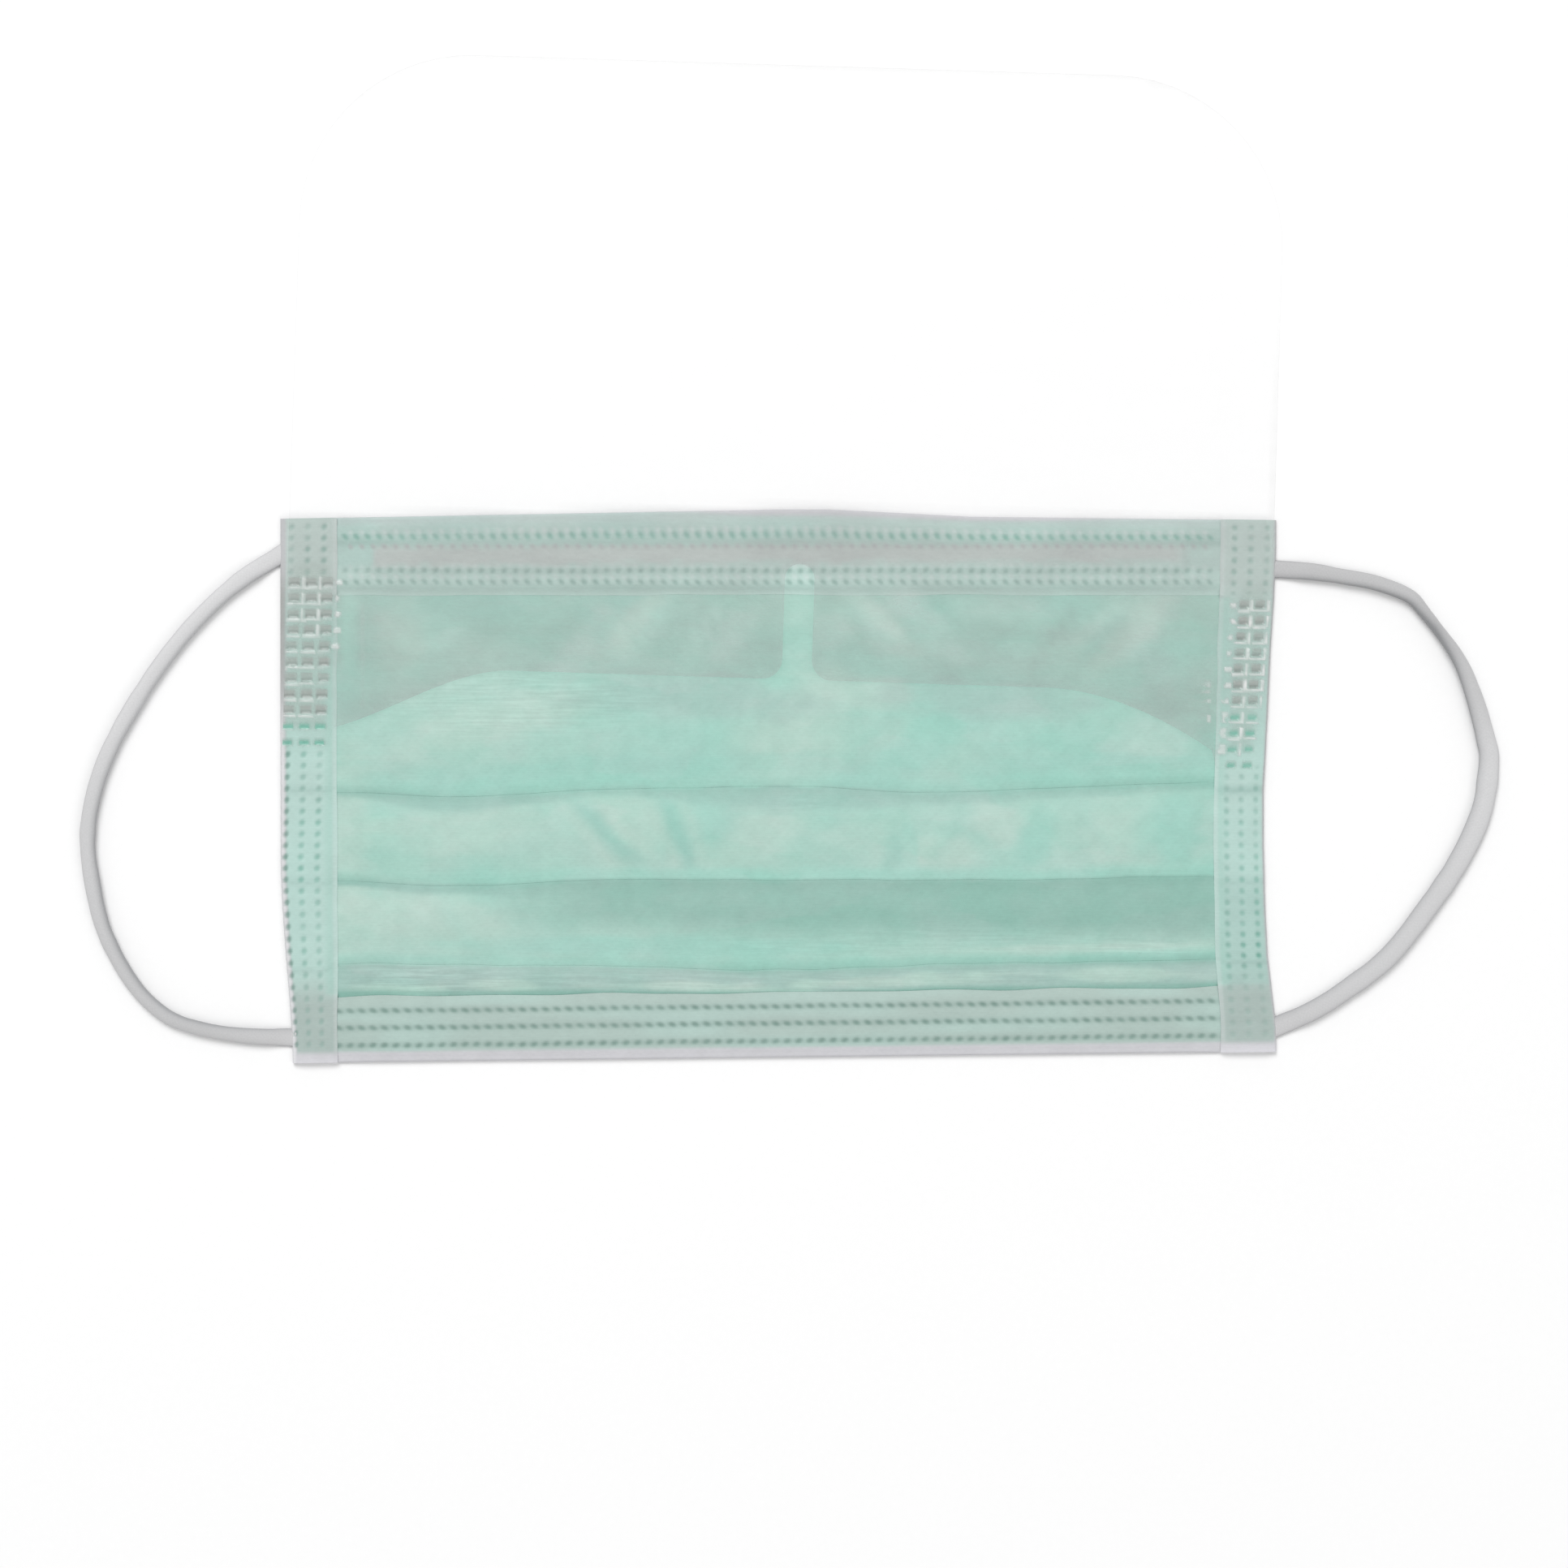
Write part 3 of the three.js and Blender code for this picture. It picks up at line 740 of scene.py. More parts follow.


# The panel

# Each pleat: its fold and depth, as in the solids, and its edge along the mask: how far it strays and
# stands up, how wide the hollow below it is, how strongly and how far its vivid colour shows above it, how
# strongly and how far painted shade greys the cloth below it, and its painted shadow line
FOLDS = [
    Named(y=-0.1, depth=10.0, hollow=2.2, band_reach=3.6, x=[-77, -57, -31, 0, 27, 76],
          stray=[-0.6, -1.5, -0.1, 0.4, -0.6, 1.1], lift=[0.0, 0.05, 0.1, 0.1, 0.1, 0.0],
          band=[0.4, 0.5, 0.6, 0.5, 0.6, 0.5], under=[0.5, 0.9, 0.5, 0.9, 0.7, 0.5],
          under_reach=[0.8, 3.6, 1.2, 4.6, 2.6, 1.4], line=[0.5, 0.25, 0.2, 0.15, 0.2, 0.4]),
    Named(y=-16.3, depth=10.0, hollow=5.0, band_reach=3.0, x=[-77, -57, -31, 6, 41, 76],
          stray=[0.0, -0.9, 0.2, 0.2, 0.2, 0.9], lift=[0.0, 0.0, 0.15, 0.2, 0.2, 0.1],
          band=[0.3, 0.45, 0.7, 0.8, 0.8, 0.6], under=[0.9, 0.8, 0.5, 0.0, 0.0, 0.4],
          under_reach=[1.0, 1.8, 4.0, 2.6, 2.6, 1.6], line=[0.5, 0.2, 0.1, 0.05, 0.1, 0.2]),
    Named(y=-30.9, depth=9.0, hollow=1.6, band_reach=2.4, x=[-77, -57, -37, 0, 31, 76],
          stray=[0.75, 0.4, 0.0, -1.0, -0.3, 0.1], lift=[0.0, 0.0, 0.05, 0.1, 0.15, 0.1],
          band=[0.5, 0.5, 0.6, 0.6, 0.6, 0.8], under=[0.0] * 6,
          under_reach=[2.6] * 6, line=[0.35, 0.1, 0.15, 0.4, 0.35, 0.6]),
]
# Soft creases: where they start and end, their width, lift, and the strength of their painted shade and
# highlights
CREASES = rows(
    "start_x start_y end_x end_y width height share",
    (-19.5, -1.0, -15.0, -15.8, 1.3, 0.34, 1.0),
    (-36.0, -1.0, -24.0, -14.5, 1.8, 0.3, 0.9),
    (20.5, -7.0, 19.2, -16.0, 1.1, 0.3, 0.6),
    (33.0, -3.0, 26.0, -15.0, 2.4, 0.26, 0.25),
    (52.0, -2.0, 60.0, -14.0, 2.6, 0.24, 0.2),
    (11.0, 33.0, 21.0, 24.0, 1.5, 0.3, 0.5),
    (2.0, 18.0, -9.0, 5.0, 2.6, 0.26, 0.2),
    (22.0, 16.0, 12.0, 3.0, 2.2, 0.22, 0.15),
    (62.0, 32.0, 53.0, 22.0, 2.4, 0.26, 0.5),
    (-35.0, 32.0, -28.0, 22.0, 2.2, 0.26, 0.4),
    (-60.0, -18.5, -52.0, -29.0, 2.5, 0.24, 0.25),
    (-21.0, -18.0, -20.0, -29.0, 1.4, 0.2, 0.1),
)
# The creases' sway and fading ends, and the reach and strength of their painted highlights and painted
# shade
CREASE = Named(sway=0.8, start_fade=(-0.15, 0.3), end_fade=(1.15, 0.7), reach=1.3, pale=0.5, deep=0.85)
# A pleat's edge bends down to the cloth below, which comes up to meet it, with a painted shadow line along
# it
LIP = Named(
    drop=0.415, reach=8.0, wall=0.016, thin_fade=(0.3, 1.6), lift_above=8.0, lift_below=2.5, wave=0.35,
    side_fade=(80.0, 70.0), line_above=0.1, line_reach=1.1,
)
RETURN = Named(reach=2.0, middle_z=0.46)
RISE = Named(start=1.6, end=0.25, hidden_z=0.52, reach=0.6, seen_z=0.6, step=0.12)
STRAY = Named(fine=0.15, reach=6.0, side_fade=(85.0, 76.0))
PILLOW = Named(height=0.24, reach=4.2)
RUMPLE = Named(
    broad=0.2, middle=0.13, fine=0.03, top_fade=(34.5, 28.0), low_fade=(-36.0, -32.0),
    side_fade=(80.0, 66.0),
)
BEFORE_HEM = 0.3
SEEN_STEP = 0.5
HIDDEN_STEP = 1.8
PANEL_COLUMN_STEP = 0.96

# Cloudy patches in the cloth: middle, half sizes, slant in degrees and colour
PATCHES = rows(
    "x y reach_x reach_y slant coat",
    (-50.0, 12.0, 20.0, 4.0, 14.0, MINT_PALE),
    (2.0, 10.0, 13.0, 9.0, 50.0, MINT_PALE),
    (14.0, 17.0, 12.0, 3.0, -4.0, MINT_PALE),
    (24.0, 7.0, 20.0, 4.0, 35.0, MINT_AQUA),
    (-30.0, 3.0, 38.0, 3.0, 2.0, MINT_AQUA),
    (55.0, 3.0, 24.0, 3.0, 0.0, MINT_AQUA),
    (-58.0, -7.0, 16.0, 5.0, 6.0, MINT_PALE),
    (-25.0, -6.5, 7.0, 4.5, -50.0, MINT_PALE),
    (-4.0, -9.6, 9.0, 4.8, 20.0, MINT_PALE),
    (30.0, -11.5, 7.0, 3.5, 0.0, MINT_PALE),
    (39.0, -6.0, 5.0, 5.0, 0.0, MINT_PALE),
    (45.0, -10.0, 3.5, 6.0, -20.0, MINT_AQUA),
    (59.0, -7.0, 5.5, 7.0, 0.0, MINT_PALE),
    (22.5, -11.0, 1.8, 5.0, 0.0, MINT_AQUA),
    (70.0, -8.0, 5.5, 7.0, 0.0, MINT_AQUA),
    (-62.0, -22.5, 18.0, 6.0, -6.0, MINT_PALE),
    (52.0, -28.6, 26.0, 1.1, 2.0, MINT_PALE),
    (-25.0, -27.5, 34.0, 2.0, 0.0, MINT_AQUA),
    (17.0, 29.5, 9.0, 3.0, -42.0, MINT_PALE),
    (62.0, 28.0, 10.0, 3.5, 48.0, MINT_PALE),
    (-26.0, 28.5, 8.0, 2.5, 50.0, MINT_PALE),
    (-66.0, 26.0, 5.0, 7.0, 0.0, MINT_PALE),
    (-76.0, -8.0, 5.0, 20.0, 0.0, MINT_PALE),
    (-14.0, 16.0, 24.0, 4.0, -3.0, MINT_GREY),
    (38.0, 15.5, 20.0, 3.5, -4.0, MINT_GREY),
)
# Pale patches in the strip above the chin hem
LOW_PATCHES = rows(
    "x y reach_x reach_y slant",
    (-66.0, -35.0, 9.0, 0.9, 0.0),
    (-48.0, -34.6, 8.0, 1.2, 0.0),
    (-14.0, -34.4, 18.0, 1.0, 0.0),
    (18.0, -33.7, 20.0, 1.3, 0.0),
    (58.0, -33.4, 16.0, 1.2, 0.0),
)
# Where the cloth shows fine streaks: middle, half sizes and strength
STREAKS = rows(
    "x y reach_x reach_y share",
    (-45.0, 15.0, 26.0, 7.0, 0.85),
    (-62.0, -33.4, 18.0, 2.6, 1.7),
    (0.0, -33.5, 80.0, 2.4, 0.9),
    (64.0, -28.6, 13.0, 1.6, 1.0),
    (25.0, -27.0, 45.0, 2.6, 0.6),
    (3.0, -3.2, 5.0, 1.5, 0.7),
)
PATCH_FADE = (1.3, 0.5)
STREAK_FADE = (1.2, 0.5)
# How strong and how far the panel's clouds, patches, folds and its painted shadow line above the chin hem
# are
PANEL_LOOK = Named(
    pale=0.3, aqua=0.6, cloud=0.9, ragged=0.25, ragged_line=0.12, patch=0.7, low_patch=0.85, low_ragged=2.0,
    fold_ragged=1.5, band_from=-0.5, band_full=0.3, under_fade=(0.4, -0.2), under_end=-1.2, under_full=-0.6,
    third_fade=(0.3, -0.6), hem_ragged=0.3, hem_fade=(1.1, 0.3), hem=0.9, hem_least=0.8, hem_clouds=0.2,
)
# The shade below the second fold, and where it ends along the mask
SHADE = Named(
    x=[-40, 0, 40, 76], y=[-26.2, -27.7, -28.5, -29.3], reach=5.5, ragged=0.8, top_fade=(0.25, -0.15),
    left_ragged=5.0, left_fade=(-58.0, -28.0), right_fade=(84.0, 76.0), share=0.9,
)


def ellipse(x, y, patch, ragged):
    """A soft slanting patch with a ragged edge, from 0 outside to 1 inside."""
    cos, sin = math.cos(math.radians(patch.slant)), math.sin(math.radians(patch.slant))
    along = (x - patch.x) * cos + (y - patch.y) * sin
    across = (y - patch.y) * cos - (x - patch.x) * sin
    return smooth(np.hypot(along / patch.reach_x, across / patch.reach_y) + ragged, *PATCH_FADE)


def crease_lines(x, y):
    """Each crease, how far points lie beside it and how much of it there is along its length."""
    sway = CREASE.sway * noise("crease_sway", x, y)
    for crease in CREASES:
        off_x, off_y = x - crease.start_x, y - crease.start_y
        run_x, run_y = crease.end_x - crease.start_x, crease.end_y - crease.start_y
        share = (off_x * run_x + off_y * run_y) / (run_x ** 2 + run_y ** 2)
        off = (off_x * run_y - off_y * run_x) / math.hypot(run_x, run_y) + sway
        yield crease, off, smooth(share, *CREASE.start_fade) * smooth(share, *CREASE.end_fade)


def crease_field(x, y):
    return sum(crease.height * fade * bell(off, crease.width) for crease, off, fade in crease_lines(x, y))


def painted_crease_shading(tint, x, y):
    """A crease is painted with shade along its line and with highlights on both sides."""
    for crease, off, fade in crease_lines(x, y):
        pale = CREASE.pale * crease.share * fade * bell(np.abs(off) - 2.0 * CREASE.reach, CREASE.reach)
        deep = CREASE.deep * crease.share * fade * bell(off, CREASE.reach)
        tint = paint(tint, (MINT_PALE, pale), (MINT_CREASE_SHADE, deep))
    return tint


def pillow(y):
    """Each panel of the cloth swells between its folds, and sinks to them."""
    height = PILLOW.height * np.ones_like(y)
    for fold in FOLDS:
        off = y - fold.y
        height = height * (1.0 - bell(off, np.where(off > 0.0, PILLOW.reach, fold.hollow)))
    return height


def rumple(x, y):
    """How far the cloth is puffed up from its flat fold, and never pressed below it."""
    broad = RUMPLE.broad * (1.0 + noise("broad_rumple", x, y))
    broad = broad + RUMPLE.middle * (1.0 + noise("middle_rumple", x, y))
    fine = RUMPLE.fine * (1.0 + noise("fine_rumple", x, y))
    inside_hems = smooth(y, *RUMPLE.top_fade) * smooth(y, *RUMPLE.low_fade)
    inside_all = smooth(np.abs(x), *RUMPLE.side_fade) * inside_hems
    return inside_all * (pillow(y) + broad + fine + crease_field(x, y))


def stray(x, y):
    """How far the folds run beside their straight lines."""
    total = np.zeros(np.broadcast(x, y).shape)
    for fold in FOLDS:
        fine = STRAY.fine * noise("fold_stray", x, fold.y)
        total = total + bell(y - fold.y, STRAY.reach) * (waver(x, fold.x, fold.stray) + fine)
    return total * smooth(np.abs(x), *STRAY.side_fade)


def lip_lift(x, y):
    """The stack stands up a little along the edges of the pleats."""
    total = np.zeros(np.broadcast(x, y).shape)
    for fold in FOLDS:
        off = y - fold.y
        near = smooth(off, LIP.lift_above, 0.0) * smooth(off, -LIP.lift_below, 0.0)
        wave = 1.0 + LIP.wave * noise("fold_lift", x, fold.y)
        total = total + waver(x, fold.x, fold.lift) * wave * near
    return total * smooth(np.abs(x), *LIP.side_fade)


def panel_section():
    lip_z = HIGH - LIP.drop
    lip_turn = (lip_z - MID + LIP.wall) / 2
    back_turn = (RETURN.middle_z - LOW + PANEL_WALL) / 2
    line = Section(PANEL_RISE, MID).run(UPPER_FREE_Y, HIDDEN_STEP)
    for fold in FOLDS:
        back_y = fold.y + fold.depth
        line.ease(back_y, HIGH, SEEN_STEP).run(fold.y + LIP.reach, SEEN_STEP)
        line.ease(fold.y + lip_turn, lip_z, SEEN_STEP).turn(MID)
        line.ease(fold.y + RETURN.reach, RETURN.middle_z, SEEN_STEP)
        line.run(back_y - back_turn, HIDDEN_STEP).turn(LOW)
        line.run(fold.y + RISE.start, HIDDEN_STEP).ease(fold.y + RISE.end, RISE.hidden_z, SEEN_STEP)
        line.ease(fold.y - RISE.reach, RISE.seen_z, RISE.step)
    return line.ease(LOWER_FREE_Y + BEFORE_HEM, MID, SEEN_STEP).run(-PANEL_RISE, HIDDEN_STEP)


def panel_walls(line):
    """The cloth's thickness along its section, thinner where the pleats' edges are pressed flat."""
    along, height = np.array(line.points).T
    walls = np.full(len(along), PANEL_WALL)
    for fold in FOLDS:
        thinned = mix(LIP.wall, PANEL_WALL, smooth(np.abs(along - fold.y), *LIP.thin_fade))
        in_lip = (height > RETURN.middle_z) & (along > fold.y + RISE.end)
        in_lip = in_lip | ((height > MID - LIP.wall) & (along > fold.y))
        walls = np.where(in_lip, np.minimum(walls, thinned), walls)
    return walls


def top_line(y):
    """The middle height of the panel's uppermost layer."""
    line = np.array(panel_section().points)
    start, end = line[:-1], line[1:]
    share = (y[:, None] - start[:, 0]) / (end - start)[:, 0]
    heights = mix(start[:, 1], end[:, 1], share)
    return np.where((share >= 0.0) & (share <= 1.0), heights, LOW).max(axis=1)


def lay_panel(side, x):
    """Places one side of the panel's section at every station across the mask."""
    y, z = side[:, 0][:, None], side[:, 1][:, None]
    height = pressed(x, z) + rumple(x, y) + lip_lift(x, y)
    return laid(*np.broadcast_arrays(x, y + stray(x, y)), height)


def panel_tint(x, y):
    """Mint cloth with cloudy patches, and painted shade at its folds, its creases and the chin hem."""
    look = PANEL_LOOK
    cloudy = noise("panel_clouds", x, y)
    ragged = look.ragged * noise("ragged_patch", x, y) + look.ragged_line * noise("ragged_line", x, y)
    tint = paint(
        MINT, (MINT_PALE, look.pale * smooth(cloudy, 0.0, look.cloud)),
        (MINT_AQUA, look.aqua * smooth(cloudy, 0.0, -look.cloud)),
        *((patch.coat, look.patch * ellipse(x, y, patch, ragged)) for patch in PATCHES),
    )
    tint = painted_crease_shading(tint, x, y)
    # Above each fold a band of vivid colour, and painted shade on the cloth below it
    for fold in FOLDS:
        off = y - fold.y + look.fold_ragged * ragged
        band = smooth(off, fold.band_reach, look.band_full * fold.band_reach) * (off > look.band_from)
        reach = waver(x, fold.x, fold.under_reach)
        under = smooth(off, *look.under_fade) * smooth(off, look.under_end * reach, look.under_full * reach)
        tint = paint(
            tint, (MINT_VIVID, band * waver(x, fold.x, fold.band)),
            (MINT_SHADE, under * waver(x, fold.x, fold.under)),
        )
    _, second_y, third_y = (fold.y for fold in FOLDS)
    # Painted shade below the second fold, and a greyer strip below the third fold
    low_y = waver(x, SHADE.x, SHADE.y)
    shade = SHADE.share * smooth(y + SHADE.ragged * ragged, low_y, low_y + SHADE.reach)
    shade = shade * smooth(x + SHADE.left_ragged * ragged, *SHADE.left_fade) * smooth(x, *SHADE.right_fade)
    shade = shade * smooth(y - second_y, *SHADE.top_fade)
    tint = paint(tint, (MINT_DEEP_SHADE, shade), (MINT_GREY, smooth(y - third_y, *look.third_fade)))
    for patch in LOW_PATCHES:
        tint = paint(tint, (MINT_PALE, look.low_patch * ellipse(x, y, patch, look.low_ragged * ragged)))
    # Painted shadow lines along the folds
    for fold in FOLDS:
        line = bell(y - fold.y - LIP.line_above, LIP.line_reach)
        tint = paint(tint, (MINT_SHADOW_LINE, line * waver(x, fold.x, fold.line)))
    # A painted shadow line on the cloth beside the chin hem's free edge
    hem_line = look.hem * smooth(y - LOWER_FREE_Y + look.hem_ragged * ragged, *look.hem_fade)
    return paint(tint, (MINT_SHADOW_LINE, hem_line * (look.hem_least + look.hem_clouds * cloudy)))


def streak_share(x, y):
    total = np.zeros(np.broadcast(x, y).shape)
    for streak in STREAKS:
        off = np.hypot((x - streak.x) / streak.reach_x, (y - streak.y) / streak.reach_y)
        total = np.maximum(total, streak.share * smooth(off, *STREAK_FADE))
    return total


def make_panel():
    line = panel_section()
    back, front = line.sides(panel_walls(line))
    x = np.linspace(-PANEL_REACH, PANEL_REACH, round(2 * PANEL_REACH / PANEL_COLUMN_STEP) + 1)
    y = front[:, 0][:, None]
    piece = closed_sheet(
        "mask_panel", "pleated_panel", grid_faces(len(front), len(x)),
        lay_panel(front, x), lay_panel(back, x), [MINT_CLOTH, WHITE_CLOTH], back=1,
    )
    set_tint(piece, with_back(panel_tint(x, y)))
    streak = streak_share(x, y)
    set_number(piece, "streak", np.concatenate([streak, np.zeros_like(streak)]))
    return piece


# Hems

HEM_STEP = 0.31
HEM_COLUMN_STEP = 0.335
HEM_PINCH = 2.2
PIT_DEPTH = 0.2
HOLLOW_DEPTH = 0.08
HEM_EDGE_DROP = 0.2
EDGE_THIN_REACH = 1.3
# Rows of weld dots: their places along the mask, and each row's height, half size, strength, lean and
# flatness
UPPER_DOTS = Named(first=-76.1, last=77.2, pitch=2.0)
UPPER_BETWEEN = Named(first=-75.1, last=76.2, pitch=2.0)
LOWER_DOTS = Named(first=-77.2, last=77.4, pitch=2.02)
DOT_COLUMNS = "y half strength lean flat"
UPPER_DOT_ROWS = rows(
    DOT_COLUMNS, (44.05, 0.68, 0.75, 0.4, 1.0), (38.1, 0.6, 0.65, -0.2, 1.0), (36.1, 0.64, 0.75, 0.4, 1.0),
)
# Painted highlights just above each row of dots
UPPER_LIGHT_ROWS = rows(
    DOT_COLUMNS, (44.9, 0.6, 1.0, 0.3, 1.0), (38.9, 0.5, 0.6, 0.0, 1.0), (37.1, 0.6, 0.9, 0.3, 1.0),
)
LOWER_DOT_ROWS = rows(
    DOT_COLUMNS, (-38.35, 0.78, 1.0, 0.35, 0.7), (-41.35, 0.78, 1.0, 0.35, 0.7),
    (-44.45, 0.76, 1.0, -0.25, 0.75),
)
# A greyer row along the wire, and the darker bands beside the rows
UPPER_GREY_ROWS = rows(DOT_COLUMNS, (42.4, 0.6, 0.9, 0.2, 1.0))
UPPER_BANDS = rows("y reach share", (43.1, 0.75, 0.4), (35.3, 0.6, 0.4))
DOT_ROW = Named(stray=0.12, soft_from=0.2, end_fade=(-1.5, -0.6), least=0.88, uneven=0.12)
# How the wire lifts the hem, and how its colour shows through: higher to the right, and narrower
WIRE_LIFT = Named(end=2.0, out=1.6, within=0.1)
WIRE_TINT = Named(rise=0.6, out=0.6, within=1.4, fuzz=0.5, end_fuzz=2.0, end_fade=(3.0, -2.0), share=0.85)
# The edge of the white fold that shows above the mint cloth, along the mask
SLIVER = Named(x=[-80, -24, 0, 40, 80], y=[47.9, 47.6, 46.6, 46.8, 47.6], fade=(0.4, -0.4))
UPPER = Named(
    aqua=0.8, aqua_y=(42.6, 44.6), clouds=(-0.6, 0.6), aqua_x=(-69.0, -72.0), low_y=(39.5, 37.5),
    band_least=0.8, band_clouds=0.2, light=0.35, grey=0.9, teal_y=(40.0, 42.0), dots=0.95,
)
# The chin hem is darker along its rows
LOWER = Named(
    backed_y=(-45.9, -45.1), mint=0.35, clouds=(-0.2, 0.7), row_reach=0.6, row=0.34, row_least=0.85,
    row_uneven=0.15, dots=0.9,
)
HEMS = {
    "upper_hem": Named(
        free_y=UPPER_FREE_Y, fold_y=HALF_HEIGHT, spread=UPPER_DOTS, dot_rows=UPPER_DOT_ROWS, puff=0.07,
        edge_reach=1.6, drop_uneven=0.0, sway=0.15, sway_reach=2.0, thin_edge=0.23),
    "lower_hem": Named(
        free_y=LOWER_FREE_Y, fold_y=-HALF_HEIGHT, spread=LOWER_DOTS, dot_rows=LOWER_DOT_ROWS, puff=0.08,
        edge_reach=-2.5, drop_uneven=0.05, sway=0.25, sway_reach=-2.5, thin_edge=0.1),
}


def hem_welds(x, y, dot_rows, spread):
    fields = []
    for row in dot_rows:
        place = row.y + DOT_ROW.stray * noise("row_stray", x, row.y)
        pit, hollow = dot_field(y, x, place, spread, row.half, row.lean, DOT_ROW.soft_from, row.flat)
        inside_row = smooth(x - spread.first, *DOT_ROW.end_fade)
        inside_row = inside_row * smooth(spread.last - x, *DOT_ROW.end_fade)
        uneven = row.strength * (DOT_ROW.least + DOT_ROW.uneven * noise("row_strength", x, row.y))
        fields.append((pit * inside_row * uneven, hollow * inside_row * uneven))
    return weld(fields)


def lay_hem(side, x, lift, sway):
    y, z, across = np.broadcast_arrays(side[:, 0][:, None], side[:, 1][:, None], x)
    height = np.maximum(pressed(across, z) + lift * squeeze(across), LOWEST)
    return laid(across, y + sway, height)


def over_wire(x, y, soft_out, soft_in):
    """Where the wire lifts the upper hem, from 0 to 1."""
    ends = smooth(x, WIRE.left_x - WIRE_LIFT.end, WIRE.left_x)
    ends = ends * smooth(x, WIRE.right_x + WIRE_LIFT.end, WIRE.right_x)
    half = WIRE.width / 2
    return ends * smooth(np.abs(y - WIRE.middle_y), half + soft_out, half - soft_in)


def upper_tint(x, y):
    cloudy = noise("upper_clouds", x, y)
    below_sliver = smooth(y - waver(x, SLIVER.x, SLIVER.y), *SLIVER.fade)
    aqua = np.maximum(smooth(y, *UPPER.aqua_y) * smooth(cloudy, *UPPER.clouds), smooth(x, *UPPER.aqua_x))
    fuzz = WIRE_TINT.fuzz * noise("wire_fuzz", x, y) - WIRE_TINT.rise * ramp(x, WIRE.left_x, 0.0)
    wired = over_wire(x + WIRE_TINT.end_fuzz * fuzz, y + fuzz, WIRE_TINT.out, WIRE_TINT.within)
    wired = wired * smooth(x - WIRE.right_x, *WIRE_TINT.end_fade)
    light, _ = hem_welds(x, y, UPPER_LIGHT_ROWS, UPPER_BETWEEN)
    grey, _ = hem_welds(x, y, UPPER_GREY_ROWS, UPPER_BETWEEN)
    pit, _ = hem_welds(x, y, UPPER_DOT_ROWS, UPPER_DOTS)
    tint = paint(
        PLY_ALONE, (PLY_HEM, below_sliver), (PLY_OVER_MINT, UPPER.aqua * aqua * below_sliver),
        (PLY_HEM_LOW, smooth(y, *UPPER.low_y)), (PLY_OVER_WIRE, WIRE_TINT.share * wired),
    )
    for band in UPPER_BANDS:
        beside = bell(y - band.y, band.reach) * (UPPER.band_least + UPPER.band_clouds * cloudy)
        tint = paint(tint, (WELD_GREEN, band.share * beside))
    weld_tint = paint(WELD_GREEN, (WELD_TEAL, smooth(y, *UPPER.teal_y)))
    # Painted highlights above the dot rows, and the greyer row along the wire
    tint = paint(tint, (PLY_HIGHLIGHT, UPPER.light * light), (PLY_EDGE, UPPER.grey * grey))
    return paint(tint, (weld_tint, UPPER.dots * pit))


def lower_tint(x, y):
    backed = smooth(y, *LOWER.backed_y)
    cloudy = smooth(noise("lower_clouds", x, y), *LOWER.clouds)
    tint = paint(PLY_ALONE, (PLY_CHIN, backed), (PLY_OVER_MINT, LOWER.mint * backed * cloudy))
    for row in LOWER_DOT_ROWS:
        uneven = LOWER.row_least + LOWER.row_uneven * noise("lower_rows", x, row.y)
        tint = paint(tint, (WELD_DARK, LOWER.row * bell(y - row.y, LOWER.row_reach) * uneven))
    pit, _ = hem_welds(x, y, LOWER_DOT_ROWS, LOWER_DOTS)
    return paint(tint, (WELD_DARK, LOWER.dots * pit))


def hem_relief(node, x, y):
    """How far a hem's front stands up: over the wire, puffed, down along its free edge and in its dots."""
    hem = HEMS[node]
    pit, hollow = hem_welds(x, y, hem.dot_rows, hem.spread)
    ridge = (OVER_WIRE - HEM_FRONT) * over_wire(x, y, WIRE_LIFT.out, WIRE_LIFT.within)
    at_edge = smooth(y, hem.free_y + hem.edge_reach, hem.free_y)
    puff = hem.puff * (1.0 + noise(node + "_puff", x, y)) * (1.0 - at_edge)
    drop = (HEM_EDGE_DROP - hem.drop_uneven * (1.0 + noise("hem_drop", x, y))) * at_edge
    return ridge + puff - drop - PIT_DEPTH * pit - HOLLOW_DEPTH * hollow


def make_hem(node, tint_at):
    """A strip folded over an edge of the panel, whose relief and tint lie on its front."""
    hem = HEMS[node]
    line = strip_section(hem.free_y, hem.fold_y, HEM_PINCH, HEM_FRONT, HEM_STEP)
    outer_side, inner_side = line.strip_sides()
    x = np.arange(-PANEL_REACH, PANEL_REACH + HEM_COLUMN_STEP, HEM_COLUMN_STEP)
    middle = np.array(line.points)
    y = middle[:, 0][:, None]
    front = ramp(middle[:, 1], LOW, HEM_FRONT)[:, None]
    lift = hem_relief(node, x, y) * front
    sway = hem.sway * noise(node + "_edge", x) * smooth(y, hem.free_y + hem.sway_reach, hem.free_y) * front
    thin = hem.thin_edge * front * smooth(np.abs(y - y[0]), EDGE_THIN_REACH, 0.0)
    piece = closed_sheet(
        node + "_cloth", node, grid_faces(len(middle), len(x)),
        lay_hem(outer_side, x, lift - thin, sway), lay_hem(inner_side, x, lift, sway), [WHITE_CLOTH],
    )
    set_tint(piece, with_back(paint(PLY_ALONE, (tint_at(x, y), front))))
    return piece


# Bindings

BINDING_STEP = 0.3
BINDING_COLUMN_STEP = 0.338
# Heights for which the place of the first dot column and the strength of the dots are given below
BINDING_FIRST_Y = [-47.5, -12.0, 20.0, 47.5]
BINDING_DOT_Y = [-36.0, -30.0, -12.0, 30.0]
